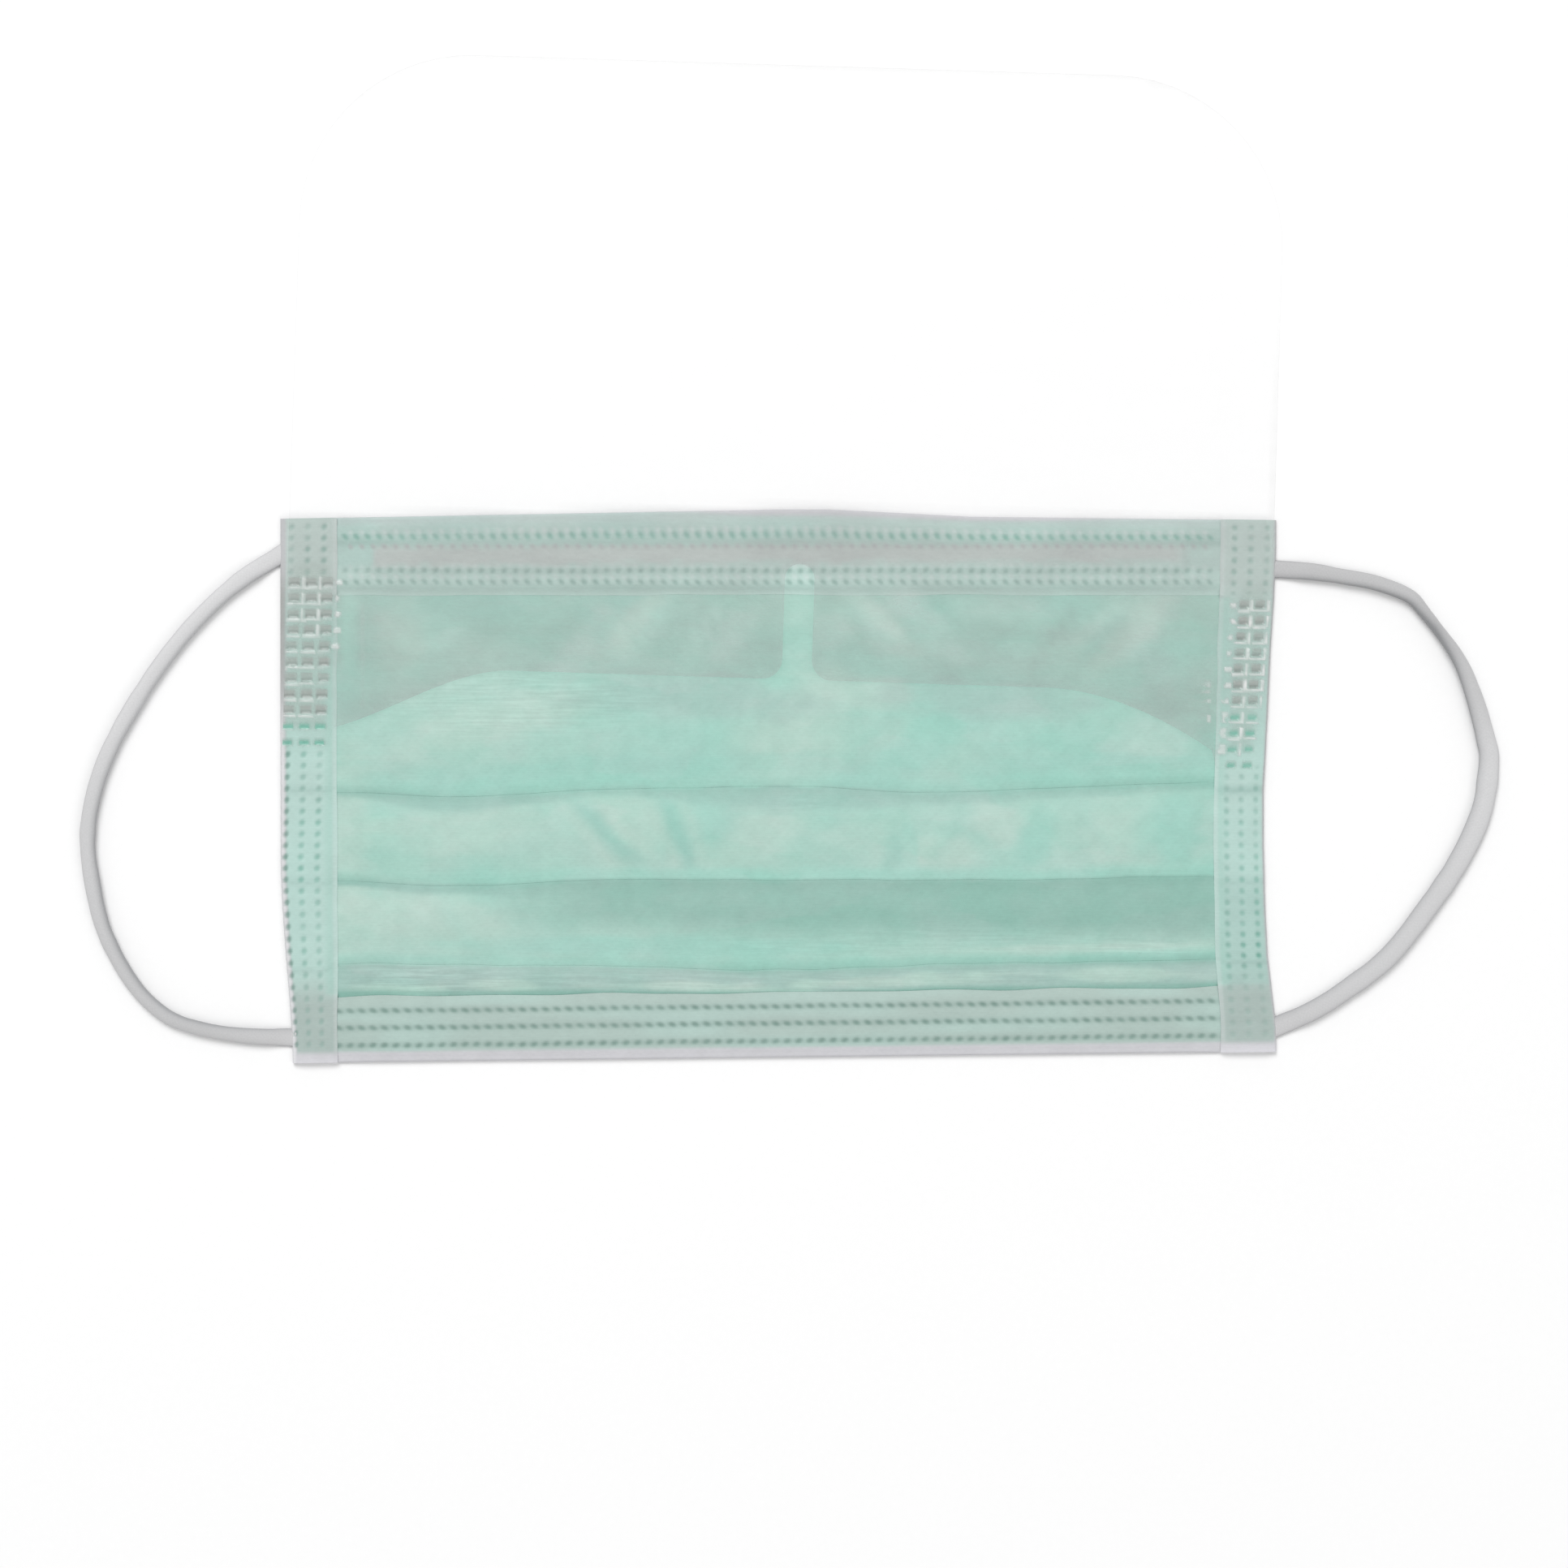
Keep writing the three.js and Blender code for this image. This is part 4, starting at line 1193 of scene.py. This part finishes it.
# Each side's own looks: the place of its first dot column from the outer edge, the pitch of the columns and
# how strong their dots are, the painted shade lines at the folds, where the film's weld leaves no dots, the
# painted shade of the cloth below the second fold, and how grey the cloth is along the outer edge
BINDING_LOOKS = {
    "side_binding_left": Named(
        side=-1.0, first=[0.95, 0.85, 1.7, 2.1], pitch=2.85,
        dots=[0.5, 0.5, 0.6, 0.6], edge_dots=0.8,
        steps=[0.35, 0.25, 0.2], weld_low=7.5, weld_top=36.5, deep=0.0, edge_reach=(0.6, 1.5),
        edge_y=[-47.5, -44.0, -2.0, 33.0, 40.5], edge_grey=[-0.2, 0.5, 0.7, 1.3, 0.6]),
    "side_binding_right": Named(
        side=1.0, first=[2.0, 1.6, 1.7, 1.6], pitch=2.87,
        dots=[0.3, 0.8, 0.45, 0.5], edge_dots=0.0,
        steps=[0.8, 0.5, 0.3], weld_low=3.2, weld_top=33.5, deep=0.6, edge_reach=(0.15, 0.6),
        edge_y=[-47.5, -44.0, -2.0, 33.0, 37.5], edge_grey=[-0.4, 0.6, 0.9, 1.0, 0.8]),
}
BINDING_DOTS = Named(first=-45.9, last=46.0, pitch=2.0, half=0.64, lean=0.15, soft_from=0.3, columns=3)
BINDING = Named(
    pinch=2.6, pit=0.12, hollow=0.07, step=0.2, step_from=-0.9, step_top=2.0, puff=0.05, weld_fade=1.0,
    edge_gap=0.03, edge_fade=(-2.4, -0.3), edge_keep=-0.6, sway=0.12, pull=0.25, pull_fade=(1.6, 0.4),
    hem_blend=0.8,
)
BINDING_TINT = Named(
    grey=0.4, hem=0.9, upper_fade=(-6.0, 3.0), lower_fade=(5.0, -2.0), deep_fade=(0.5, -3.0),
    line_ragged=0.3, line_reach=0.8, mint=0.5, mint_fade=(-3.2, -1.0), bright=0.2, bright_fade=(-1.1, -0.5),
    backed_y=(-46.2, -45.0), dot_least=0.85, dot_uneven=0.35, edge_dot_y=(20.0, 8.0), edge_dot=0.8,
    edge_dot_fade=(1.1, 0.5),
)


def binding_welds(looks, from_edge, y):
    """Pits and hollows of the dots, and the pits of the outermost column alone."""
    dots = BINDING_DOTS
    first = np.interp(y, BINDING_FIRST_Y, looks.first)
    fields = []
    for column in range(dots.columns):
        place = first + column * looks.pitch
        fields.append(dot_field(from_edge, -y, place, dots, dots.half, dots.lean, dots.soft_from))
    return *weld(fields), fields[0][0]


def pleat_steps(y):
    """The stack behind a binding is thicker above each fold, and steps down below it."""
    total = 0.0 * y
    for fold in FOLDS:
        off = y - fold.y
        total = total + smooth(off, BINDING.step_from, 0.0) * smooth(off, fold.depth, BINDING.step_top)
    return total


def in_hems(y):
    """Where a binding lies over a hem, from 0 to 1."""
    lower = smooth(y, LOWER_FREE_Y + BINDING.hem_blend, LOWER_FREE_Y)
    return np.maximum(smooth(y, UPPER_FREE_Y - BINDING.hem_blend, UPPER_FREE_Y), lower)


def binding_tint(looks, width, from_edge, y, front, pit, outer_pit):
    look = BINDING_TINT
    cloudy = 0.5 + 0.5 * noise("binding_clouds", from_edge, y)
    off_hems = 1.0 - in_hems(y)
    from_inside = from_edge - width
    below_second = smooth(y - FOLDS[1].y, *look.deep_fade)
    tint = paint(
        PLY_OVER_MINT, (PLY_GREY_MINT, look.grey * cloudy),
        (PLY_OVER_HEM, look.hem * smooth(y - UPPER_FREE_Y, *look.upper_fade)),
        (PLY_OVER_CHIN, look.hem * smooth(y - LOWER_FREE_Y, *look.lower_fade)),
        # Painted shade below the second fold
        (PLY_MINT_SHADE, looks.deep * below_second * off_hems),
    )
    # Painted shade lines where the pleats step down under the binding
    for fold, share in zip(FOLDS, looks.steps):
        line = bell(y - fold.y + look.line_ragged * cloudy, look.line_reach)
        tint = paint(tint, (PLY_MINT_SHADE, share * line))
    # Mint shows through near the free edge, and a painted highlight runs along it
    tint = paint(
        tint, (MINT, look.mint * smooth(from_inside, *look.mint_fade) * off_hems),
        (PLY_HIGHLIGHT, look.bright * smooth(from_inside, *look.bright_fade)),
    )
    edge_tint = paint(PLY_ALONE, (PLY_EDGE, waver(y, looks.edge_y, looks.edge_grey)))
    backed = smooth(from_edge, *looks.edge_reach) * front * smooth(y, *look.backed_y)
    weld_tint = paint(WELD_TEAL, (WELD_GREEN, np.maximum(in_hems(y), cloudy)))
    uneven = look.dot_least + look.dot_uneven * noise("binding_dots", from_edge, y)
    uneven = waver(y, BINDING_DOT_Y, looks.dots) * uneven
    # Painted highlights between the dots of the outermost column, at the outer edge
    edge_dots = look.edge_dot * looks.edge_dots * smooth(y, *look.edge_dot_y) * front
    return paint(
        edge_tint, (tint, backed), (weld_tint, uneven * pit * front),
        (PLY_HIGHLIGHT, edge_dots * smooth(from_edge, *look.edge_dot_fade) * (1.0 - outer_pit)),
        (WELD_DARK, edge_dots * outer_pit),
    )


def make_binding(node):
    width, looks = BINDING_WIDTH[node], BINDING_LOOKS[node]
    side = looks.side
    fold_x = side * HALF_WIDTH
    line = strip_section(fold_x - side * width, fold_x, BINDING.pinch, BINDING_FRONT, BINDING_STEP)
    outer_side, inner_side = line.strip_sides()
    middle = np.array(line.points)
    rows_y = np.arange(-HALF_HEIGHT, HALF_HEIGHT + BINDING_COLUMN_STEP / 2, BINDING_COLUMN_STEP)
    y = np.broadcast_to(rows_y, (len(middle), len(rows_y)))
    from_edge = np.broadcast_to((HALF_WIDTH - np.abs(middle[:, 0]))[:, None], y.shape)
    front = np.broadcast_to(ramp(middle[:, 1], LOW, STRIP_TURN)[:, None], y.shape)
    film_weld = smooth(y, looks.weld_low, looks.weld_low + BINDING.weld_fade)
    film_weld = film_weld * smooth(y, looks.weld_top + BINDING.weld_fade, looks.weld_top)
    pit, hollow, outer_pit = (field * (1.0 - film_weld) for field in binding_welds(looks, from_edge, y))
    puff = BINDING.puff * (1.0 + noise("binding_puff", from_edge, y))
    lift = front * (BINDING.step * pleat_steps(y) + puff - BINDING.pit * pit - BINDING.hollow * hollow)

    # The free edge lies down on the cloth beside it
    edge_x = HALF_WIDTH - width
    beside = mix(top_line(rows_y) + PANEL_WALL / 2, HEM_FRONT + STRIP_WALL, in_hems(rows_y))
    edge_z = pressed(edge_x, beside) + rumple(edge_x, rows_y) + STRIP_WALL / 2 + BINDING.edge_gap
    lying = smooth(from_edge - width, *BINDING.edge_fade) * front
    free_edge = smooth(from_edge, width - EDGE_THIN_REACH, width)

    def lay(points, keep):
        x = np.broadcast_to(points[:, 0][:, None], y.shape)
        off_middle = (points - middle)[:, 1][:, None] * mix(1.0, keep, free_edge * front)
        z = mix(points[:, 1][:, None] + lift, edge_z + off_middle, lying)
        sway = side * free_edge * BINDING.sway * noise("binding_edge", y)
        pulled = -side * BINDING.pull * front * hollow * smooth(from_edge, *BINDING.pull_fade)
        return laid(x + sway + pulled, y, np.maximum(z, LOWEST))

    piece = closed_sheet(
        node + "_cloth", node, grid_faces(*y.shape),
        lay(outer_side, BINDING.edge_keep), lay(inner_side, 1.0), [WHITE_CLOTH],
    )
    set_tint(piece, with_back(binding_tint(looks, width, from_edge, y, front, pit, outer_pit)))
    return piece


# Nose wire

WIRE_Z = (0.88, 1.24)
WIRE_RIDGE = Named(height=0.14, place=0.55, reach=0.2)
WIRE_STEPS = Named(across=33, end=9, along=120)
WIRE_END_WIDTH = 0.02


def make_nose_wire():
    """A flat plastic strip with a round ridge over each of its two wires."""
    half = WIRE.width / 2
    low_z, high_z = WIRE_Z
    across = np.linspace(-1.0, 1.0, WIRE_STEPS.across)
    quarter = np.linspace(0.0, math.pi / 2, WIRE_STEPS.end)
    x = np.concatenate([
        WIRE.left_x + half * (1.0 - np.cos(quarter)),
        np.linspace(WIRE.left_x + half, WIRE.right_x - half, WIRE_STEPS.along)[1:-1],
        WIRE.right_x - half + half * np.sin(quarter),
    ])
    to_end = np.minimum(x - WIRE.left_x, WIRE.right_x - x)
    reach = np.sqrt(np.maximum(half ** 2 - np.maximum(half - to_end, 0.0) ** 2, WIRE_END_WIDTH))
    y = WIRE.middle_y + across[:, None] * reach
    ridges = [bell(across - place, WIRE_RIDGE.reach) for place in (WIRE_RIDGE.place, -WIRE_RIDGE.place)]
    top_z = (high_z + WIRE_RIDGE.height * sum(ridges))[:, None]
    place = np.broadcast_to(x, y.shape)
    top = np.stack([place, y, np.broadcast_to(top_z, y.shape)], axis=-1)
    bottom = np.stack([place, y, np.full(y.shape, low_z)], axis=-1)
    piece = closed_sheet(
        "nose_wire_strip", "nose_wire", grid_faces(*y.shape), top, bottom, [WIRE_COAT],
    )
    set_tint(piece, np.broadcast_to(WIRE_GREY, (2, *y.shape, 3)))


# Visor

# The film's lower edge beside the slot: a double bend on the left, a growing one on the right, and the ends
# that reach further down over the bindings
LEFT_SHOULDER = Named(span=(-50.0, -88.0), drop=12.0, tab=-81.0)
RIGHT_SHOULDER = Named(span=(44.0, 79.7), drop=14.6, tab=73.2, power=1.83)
TAB_SLANT = 1.2
LOWER_EDGE_STEP = 1.0
ARC_STEPS = Named(mouth=8, slot=12, corner=14)
SAME_POINT = 0.01
# Weld cells from the top down, the ridges that the welding raised below each cell, between the columns
# and beside them, painted with white glints, and the rows that show them. The last rows are teal.
WELD_CELLS = [
    Named(columns=[-84.75, -81.85, -79.0], lean=0.05, top_y=36.2, rows=11, pitch=2.8, half=(1.2, 0.95),
          dashes=[0.85, 0.8, 0.25], dash_rows=9, posts=[0.9, 0.8, 0.0], post_rows=[3, 4, 0],
          blob_off=-7.7, blob_rows=5, bar_from=11, teal_from=9),
    Named(columns=[81.7, 84.7], lean=0.083, top_y=32.2, rows=11, pitch=2.8, half=(1.05, 0.9),
          dashes=[1.0, 1.0], dash_rows=9, posts=[1.0, 1.0], post_rows=[10, 7],
          blob_off=1.75, blob_rows=10, bar_from=7, teal_from=7),
]
CELL = Named(
    soft=0.4, shift=0.15, row_shift=3.0, column_shift=5.0, dark_fade=(-0.2, 0.5), dark_least=0.8,
    dark_uneven=0.2, teal_fade=(-0.9, 0.2), depth=0.2,
)
DASH = Named(gap=0.2, shift=0.2, rise=0.1, wider=0.2, half=0.34, soft=0.24)
RIDGE = Named(least=0.75, uneven=0.25, height=0.22)
POST = Named(off=0.3, half=0.42, taller=0.3, soft=0.3)
BLOB = Named(off=0.2, half=0.75, high=0.7, bar_high=1.2, soft=0.5, ragged=0.5, top=-2.0, share=0.7)
AREA = Named(wider=1.6, soft=2.5, fewer_rows=3)
# Fine painted highlight lines that run down in the film: place, ends, strength and how much of each is
# missing
FILM_LINES = rows("x top_y low_y share gaps", (-72.9, 33.0, 13.0, 0.1, 0.2), (75.5, 19.5, 8.0, 0.55, 1.0))
FILM_LINE = Named(gap_fade=(0.15, -0.15), end=2.0, fade=(0.6, 0.15))
# Painted reflections in the film's haze: middle, half sizes, slant in degrees, how much more or less haze,
# and whiter
FILM_REFLECTIONS = rows(
    "x y reach_x reach_y slant haze white",
    (64.0, 28.0, 7.0, 2.2, 62.0, 0.0, 0.16),
    (58.5, 30.5, 5.0, 1.3, 30.0, 0.0, 0.15),
    (49.0, 27.5, 7.5, 1.1, 55.0, 0.3, -0.03),
    (39.0, 31.0, 11.0, 2.0, -6.0, 0.0, 0.12),
    (17.0, 29.0, 8.0, 2.6, -44.0, 0.1, 0.2),
    (25.0, 30.5, 7.0, 3.0, -40.0, 0.45, 0.18),
    (27.0, 25.0, 8.0, 1.6, -20.0, 0.0, 0.12),
    (70.0, 16.0, 9.0, 3.5, -8.0, 0.1, -0.03),
    (71.5, 25.0, 3.5, 7.0, 0.0, -0.3, -0.04),
    (-24.0, 28.0, 9.0, 2.2, 48.0, 0.0, 0.16),
    (-8.0, 26.5, 6.0, 3.0, 50.0, 0.35, 0.14),
    (9.5, 28.0, 4.0, 4.0, 0.0, 0.25, 0.12),
    (-13.0, 28.0, 6.0, 1.2, 60.0, 0.0, 0.15),
    (-33.0, 26.0, 10.0, 3.5, 40.0, 0.3, 0.13),
    (-62.0, 28.0, 9.0, 5.0, 0.0, -0.2, 0.1),
    (-66.0, 15.5, 14.0, 4.0, 24.0, 0.12, -0.01),
    (-75.3, 26.0, 1.7, 8.0, 0.0, -0.5, 0.0),
)
HAZE = Named(
    clear=0.012, mask=0.26, binding=0.14, rim=0.05, area=0.42, cell=0.8, cell_share=0.9, teal=0.7,
    ridge=0.92, uneven=0.15, smear_edge=0.3, binding_y=(6.0, 18.0), mask_fade=(1.0, -0.6),
    binding_fade=(-0.4, 0.4),
)
# The film's own points: fine over the welds up to a height, and coarse elsewhere
FINE_STEP = 0.34
COARSE_STEP = 1.6
FINE_LEFT = -74.0
FINE_RIGHT = 72.0
FINE_TOP = 24.0
COARSE_FROM = 24.3
COARSE_OVERLAP = 1.0
FINE_AWAY = 0.2
COARSE_AWAY = 0.9
SAME_PLACE = 1e-4
FACES_INSIDE = 1
# How the film lies: on the bindings, near the cloth between them, and drooping to the floor above the mask
FILM_LIE = Named(
    side_x=(70.0, 78.0), near_y=(33.0, 21.0), near_x=(78.0, 72.0), over_cloth=0.3, below_side=0.1, wave=0.5,
    wave_reach=40.0, floor_gap=0.02,
)


def arc(centre_u, centre_v, radius, start_degrees, end_degrees, steps):
    angle = np.radians(np.linspace(start_degrees, end_degrees, steps + 1))
    return np.column_stack([centre_u + radius * np.cos(angle), centre_v + radius * np.sin(angle)])


def lower_edge(start_u, end_u):
    """The film's lower edge from one place beside the slot to another."""
    left, right = LEFT_SHOULDER, RIGHT_SHOULDER
    u = np.linspace(start_u, end_u, round(abs(end_u - start_u) / LOWER_EDGE_STEP) + 1)
    bend = left.drop * smooth(u, *left.span) + right.drop * ramp(u, *right.span) ** right.power
    return np.column_stack([u, -bend])


def film_outline():
    """The film's outline in its own plane, from the lower left corner along the lower edge and round."""
    slot_half, mouth, corner = VISOR.slot_width / 2, VISOR.mouth_radius, VISOR.corner_radius
    mouth_u, slot_round_v = slot_half + mouth, VISOR.slot_height - slot_half
    left, right, drop = -VISOR.left_reach, VISOR.right_reach, -VISOR.corner_drop
    left_tab, right_tab = LEFT_SHOULDER.tab, RIGHT_SHOULDER.tab
    points = np.concatenate([
        np.array([[left, drop], [left_tab - TAB_SLANT, drop]]),
        lower_edge(left_tab, -mouth_u),
        arc(-mouth_u, mouth, mouth, -90.0, 0.0, ARC_STEPS.mouth),
        arc(0.0, slot_round_v, slot_half, 180.0, 0.0, ARC_STEPS.slot),
        arc(mouth_u, mouth, mouth, 180.0, 270.0, ARC_STEPS.mouth),
        lower_edge(mouth_u, right_tab),
        np.array([[right_tab + TAB_SLANT, drop], [right, drop]]),
        arc(right - corner, VISOR.rise - corner, corner, 0.0, 90.0, ARC_STEPS.corner),
        arc(left + corner, VISOR.rise - corner, corner, 90.0, 180.0, ARC_STEPS.corner),
    ])
    return points[np.linalg.norm(points - np.roll(points, 1, axis=0), axis=1) > SAME_POINT]


def inside(points, outline):
    """Which points lie inside a closed outline."""
    result = np.zeros(len(points), bool)
    for (u0, v0), (u1, v1) in zip(outline, np.roll(outline, -1, axis=0)):
        crosses = (v0 > points[:, 1]) != (v1 > points[:, 1])
        slope = (u1 - u0) / (v1 - v0) if v1 != v0 else 0.0
        result ^= crosses & (points[:, 0] < u0 + (points[:, 1] - v0) * slope)
    return result


def film_points(outline):
    """Inner points of the film: fine over the welds, coarse elsewhere."""
    left, right, low, top = -VISOR.left_reach, VISOR.right_reach, -VISOR.corner_drop, VISOR.rise
    spans = [(left, FINE_LEFT, FINE_TOP, FINE_STEP), (FINE_RIGHT, right, FINE_TOP, FINE_STEP)]
    spans.append((left, right, top, COARSE_STEP))
    grids = []
    for start_u, end_u, end_v, step in spans:
        u, v = np.meshgrid(np.arange(start_u, end_u, step), np.arange(low, end_v, step))
        grids.append(np.column_stack([u.ravel(), v.ravel()]))
    coarse_left, coarse_right = FINE_LEFT + COARSE_OVERLAP, FINE_RIGHT - COARSE_OVERLAP
    coarse = grids.pop()
    between = (coarse[:, 0] > coarse_left) & (coarse[:, 0] < coarse_right)
    points = np.concatenate([*grids, coarse[(coarse[:, 1] > COARSE_FROM) | between]])
    points = points[inside(points, outline)]
    away = np.min([np.hypot(*(points - place).T) for place in outline], axis=0)
    is_fine = (points[:, 0] < coarse_left) | (points[:, 0] > coarse_right)
    return points[away > np.where(is_fine, FINE_AWAY, COARSE_AWAY)]


def film_place(points):
    """Where the film's own points lie on the mask."""
    cos, sin = math.cos(VISOR.turn), math.sin(VISOR.turn)
    x = VISOR.middle_x + points[:, 0] * cos - points[:, 1] * sin
    y = VISOR.lower_y + points[:, 0] * sin + points[:, 1] * cos
    return x, y


def box(off_u, off_v, half_u, half_v, soft):
    """A soft rectangle, from 0 outside to 1 inside."""
    return smooth(np.abs(off_u), half_u, half_u - soft) * smooth(np.abs(off_v), half_v, half_v - soft)


def cell_fields(x, y):
    """Pressed weld cells, their lower halves in painted shade, ridges with painted white glints, teal cells
    and the area of all.
    """
    pit, shaded_half, ridge, teal, area = np.zeros((5, len(x)))
    strength = RIDGE.least + RIDGE.uneven * noise("ridge_strength", x, y)
    ragged = BLOB.ragged * noise("blob_edge", x, y)
    for patch in WELD_CELLS:
        down = patch.top_y - y
        row = np.clip(np.round(down / patch.pitch), 0, patch.rows - 1)
        off_v = down - row * patch.pitch
        half_u, half_v = patch.half
        is_teal = row >= patch.teal_from
        gap_v = patch.pitch / 2 - DASH.gap
        for column, start in enumerate(patch.columns):
            off_u = x - (start - patch.lean * down)
            uneven = noise("cell_shift", row * CELL.row_shift, column * CELL.column_shift + start)
            cell = box(off_u + CELL.shift * uneven, off_v, half_u, half_v, CELL.soft)
            # The lower half of each cell gets painted shade
            darker = smooth(off_v, *CELL.dark_fade) * (CELL.dark_least + CELL.dark_uneven * uneven)
            pit = np.maximum(pit, cell * ~is_teal)
            shaded_half = np.maximum(shaded_half, cell * ~is_teal * darker)
            teal = np.maximum(teal, cell * is_teal * smooth(off_v, *CELL.teal_fade))
            dash_v = off_v - gap_v + DASH.rise * uneven
            dash = box(off_u + DASH.shift * uneven, dash_v, half_u + DASH.wider, DASH.half, DASH.soft)
            dash = dash * patch.dashes[column] * (row < patch.dash_rows)
            post_u, post_v = off_u - half_u - POST.off, off_v - POST.off
            post = box(post_u, post_v, POST.half, half_v + POST.taller, POST.soft)
            post = post * patch.posts[column] * (row < patch.post_rows[column])
            ridge = np.maximum(ridge, np.maximum(dash, post) * strength)
        first, last = patch.columns[0], patch.columns[-1]
        off_u = x - (first - patch.blob_off - patch.lean * down)
        blob_high = np.where(row >= patch.bar_from, BLOB.bar_high, BLOB.high)
        blob = box(off_u + ragged, off_v - BLOB.off, BLOB.half, blob_high, BLOB.soft)
        blob = blob * (row < patch.blob_rows) * (down > BLOB.top)
        ridge = np.maximum(ridge, BLOB.share * blob)
        beside = x - ((first + last) / 2 - patch.lean * down)
        middle_v = down - (patch.rows - AREA.fewer_rows) * patch.pitch / 2
        half_area = ((last - first) / 2 + AREA.wider, patch.rows * patch.pitch / 2)
        area = np.maximum(area, box(beside, middle_v, *half_area, AREA.soft))
    return pit, shaded_half, ridge, teal, area


def film_lines(x, y):
    total = np.zeros(len(x))
    gaps = smooth(noise("line_gaps", x, y), *FILM_LINE.gap_fade)
    for line in FILM_LINES:
        ends = smooth(y, line.low_y, line.low_y + FILM_LINE.end)
        ends = ends * smooth(y, line.top_y, line.top_y - FILM_LINE.end)
        beside = smooth(np.abs(x - line.x), *FILM_LINE.fade)
        total = np.maximum(total, line.share * (1.0 - line.gaps * gaps) * ends * beside)
    return total


def panel_top(x, y):
    """The height of the cloth under the film's lower edge."""
    middle = mix(MID, HIGH, smooth(y, UPPER_FREE_Y, FOLDS[0].y + FOLDS[0].depth))
    return pressed(x, middle) + PANEL_WALL / 2 + rumple(x, y)


def film_heights(x, y, v, pressed_in, ridge):
    """The middle height of the film, on the mask and drooping to the floor above it."""
    film = FILM_LIE
    resting_z = mix(FILM_MIDDLE_Z, FILM_SIDE_Z, smooth(np.abs(x), *film.side_x))
    near_cloth = smooth(y, *film.near_y) * smooth(np.abs(x), *film.near_x)
    flat_z = np.maximum(panel_top(x, y) + film.over_cloth, FILM_SIDE_Z - film.below_side)
    flat_z = mix(resting_z, flat_z, near_cloth)
    droop = smooth(v, VISOR.droop_start, VISOR.rise)
    wave = film.wave * (1.0 + noise("film_wave", x, y)) * droop
    wave = wave * smooth(v, VISOR.rise, VISOR.rise - film.wave_reach)
    lying_z = mix(flat_z, FILM_WALL / 2 + film.floor_gap, droop) + wave
    return lying_z - CELL.depth * pressed_in + RIDGE.height * ridge


def over_bindings(x, y):
    """Where the film lies over a binding, from 0 to 1."""
    left_edge, _ = lie(BINDING_WIDTH["side_binding_left"] - HALF_WIDTH, y)
    right_edge, _ = lie(HALF_WIDTH - BINDING_WIDTH["side_binding_right"], y)
    return np.maximum(smooth(left_edge - x, *HAZE.binding_fade), smooth(x - right_edge, *HAZE.binding_fade))


def make_visor():
    outline = film_outline()
    points = np.concatenate([outline, film_points(outline)])
    count = len(outline)
    edges = [(i, (i + 1) % count) for i in range(count)]
    pairs = [tuple(point) for point in points]
    flat, _, faces, _, _, _ = delaunay_2d_cdt(pairs, edges, [], FACES_INSIDE, SAME_PLACE)
    flat, faces = np.array([tuple(point) for point in flat]), np.array(faces)
    x, y = film_place(flat)
    pit, shaded_half, ridge, teal, area = cell_fields(x, y)
    middle_z = film_heights(x, y, flat[:, 1], np.maximum(pit, teal), ridge)
    top = np.column_stack([x, y, middle_z + FILM_WALL / 2])
    bottom = np.column_stack([x, y, middle_z - FILM_WALL / 2])
    piece = closed_sheet("visor_film", "visor", faces, top, bottom, [FILM])

    haze = HAZE.mask * (1.0 + HAZE.uneven * noise("film_haze", x + y, y - x))
    white = np.zeros(len(flat))
    ragged = HAZE.smear_edge * noise("smear_edge", x, y)
    # Painted reflections make the haze thicker or thinner, and whiter, in patches
    for reflection in FILM_REFLECTIONS:
        reflected = ellipse(x, y, reflection, ragged)
        haze = haze + HAZE.mask * reflection.haze * reflected
        white = white + reflection.white * reflected
    _, top_edge = lie(x, HALF_HEIGHT * np.ones_like(x))
    over_mask = smooth(y - top_edge, *HAZE.mask_fade)
    over_binding = over_bindings(x, y)
    alpha = mix(haze, HAZE.binding * smooth(y, *HAZE.binding_y), over_binding)
    alpha = mix(HAZE.clear, alpha, over_mask)
    alpha[:count] += HAZE.rim * (1.0 - over_binding[:count])
    # Painted glints on the weld ridges and painted highlight lines
    lit = np.maximum(ridge, film_lines(x, y))
    for level, share in (
        (HAZE.area, area), (HAZE.cell, HAZE.cell_share * pit), (HAZE.teal, teal), (HAZE.ridge, lit),
    ):
        alpha = mix(alpha, level, share)
    tint = paint(
        FILM_HAZE + white[:, None], (AREA_GREY, area), (CELL_GREY, pit), (CELL_SHADE, shaded_half),
        (CELL_TEAL, teal), (RIDGE_GLINT, lit),
    )
    set_tint(piece, np.stack([tint, tint]), np.stack([alpha, 0.0 * alpha]))
    piece.visible_shadow = False


panel = make_panel()
upper_hem = make_hem("upper_hem", upper_tint)
lower_hem = make_hem("lower_hem", lower_tint)
bindings = [make_binding(node) for node in BINDING_LOOKS]
make_nose_wire()
make_visor()
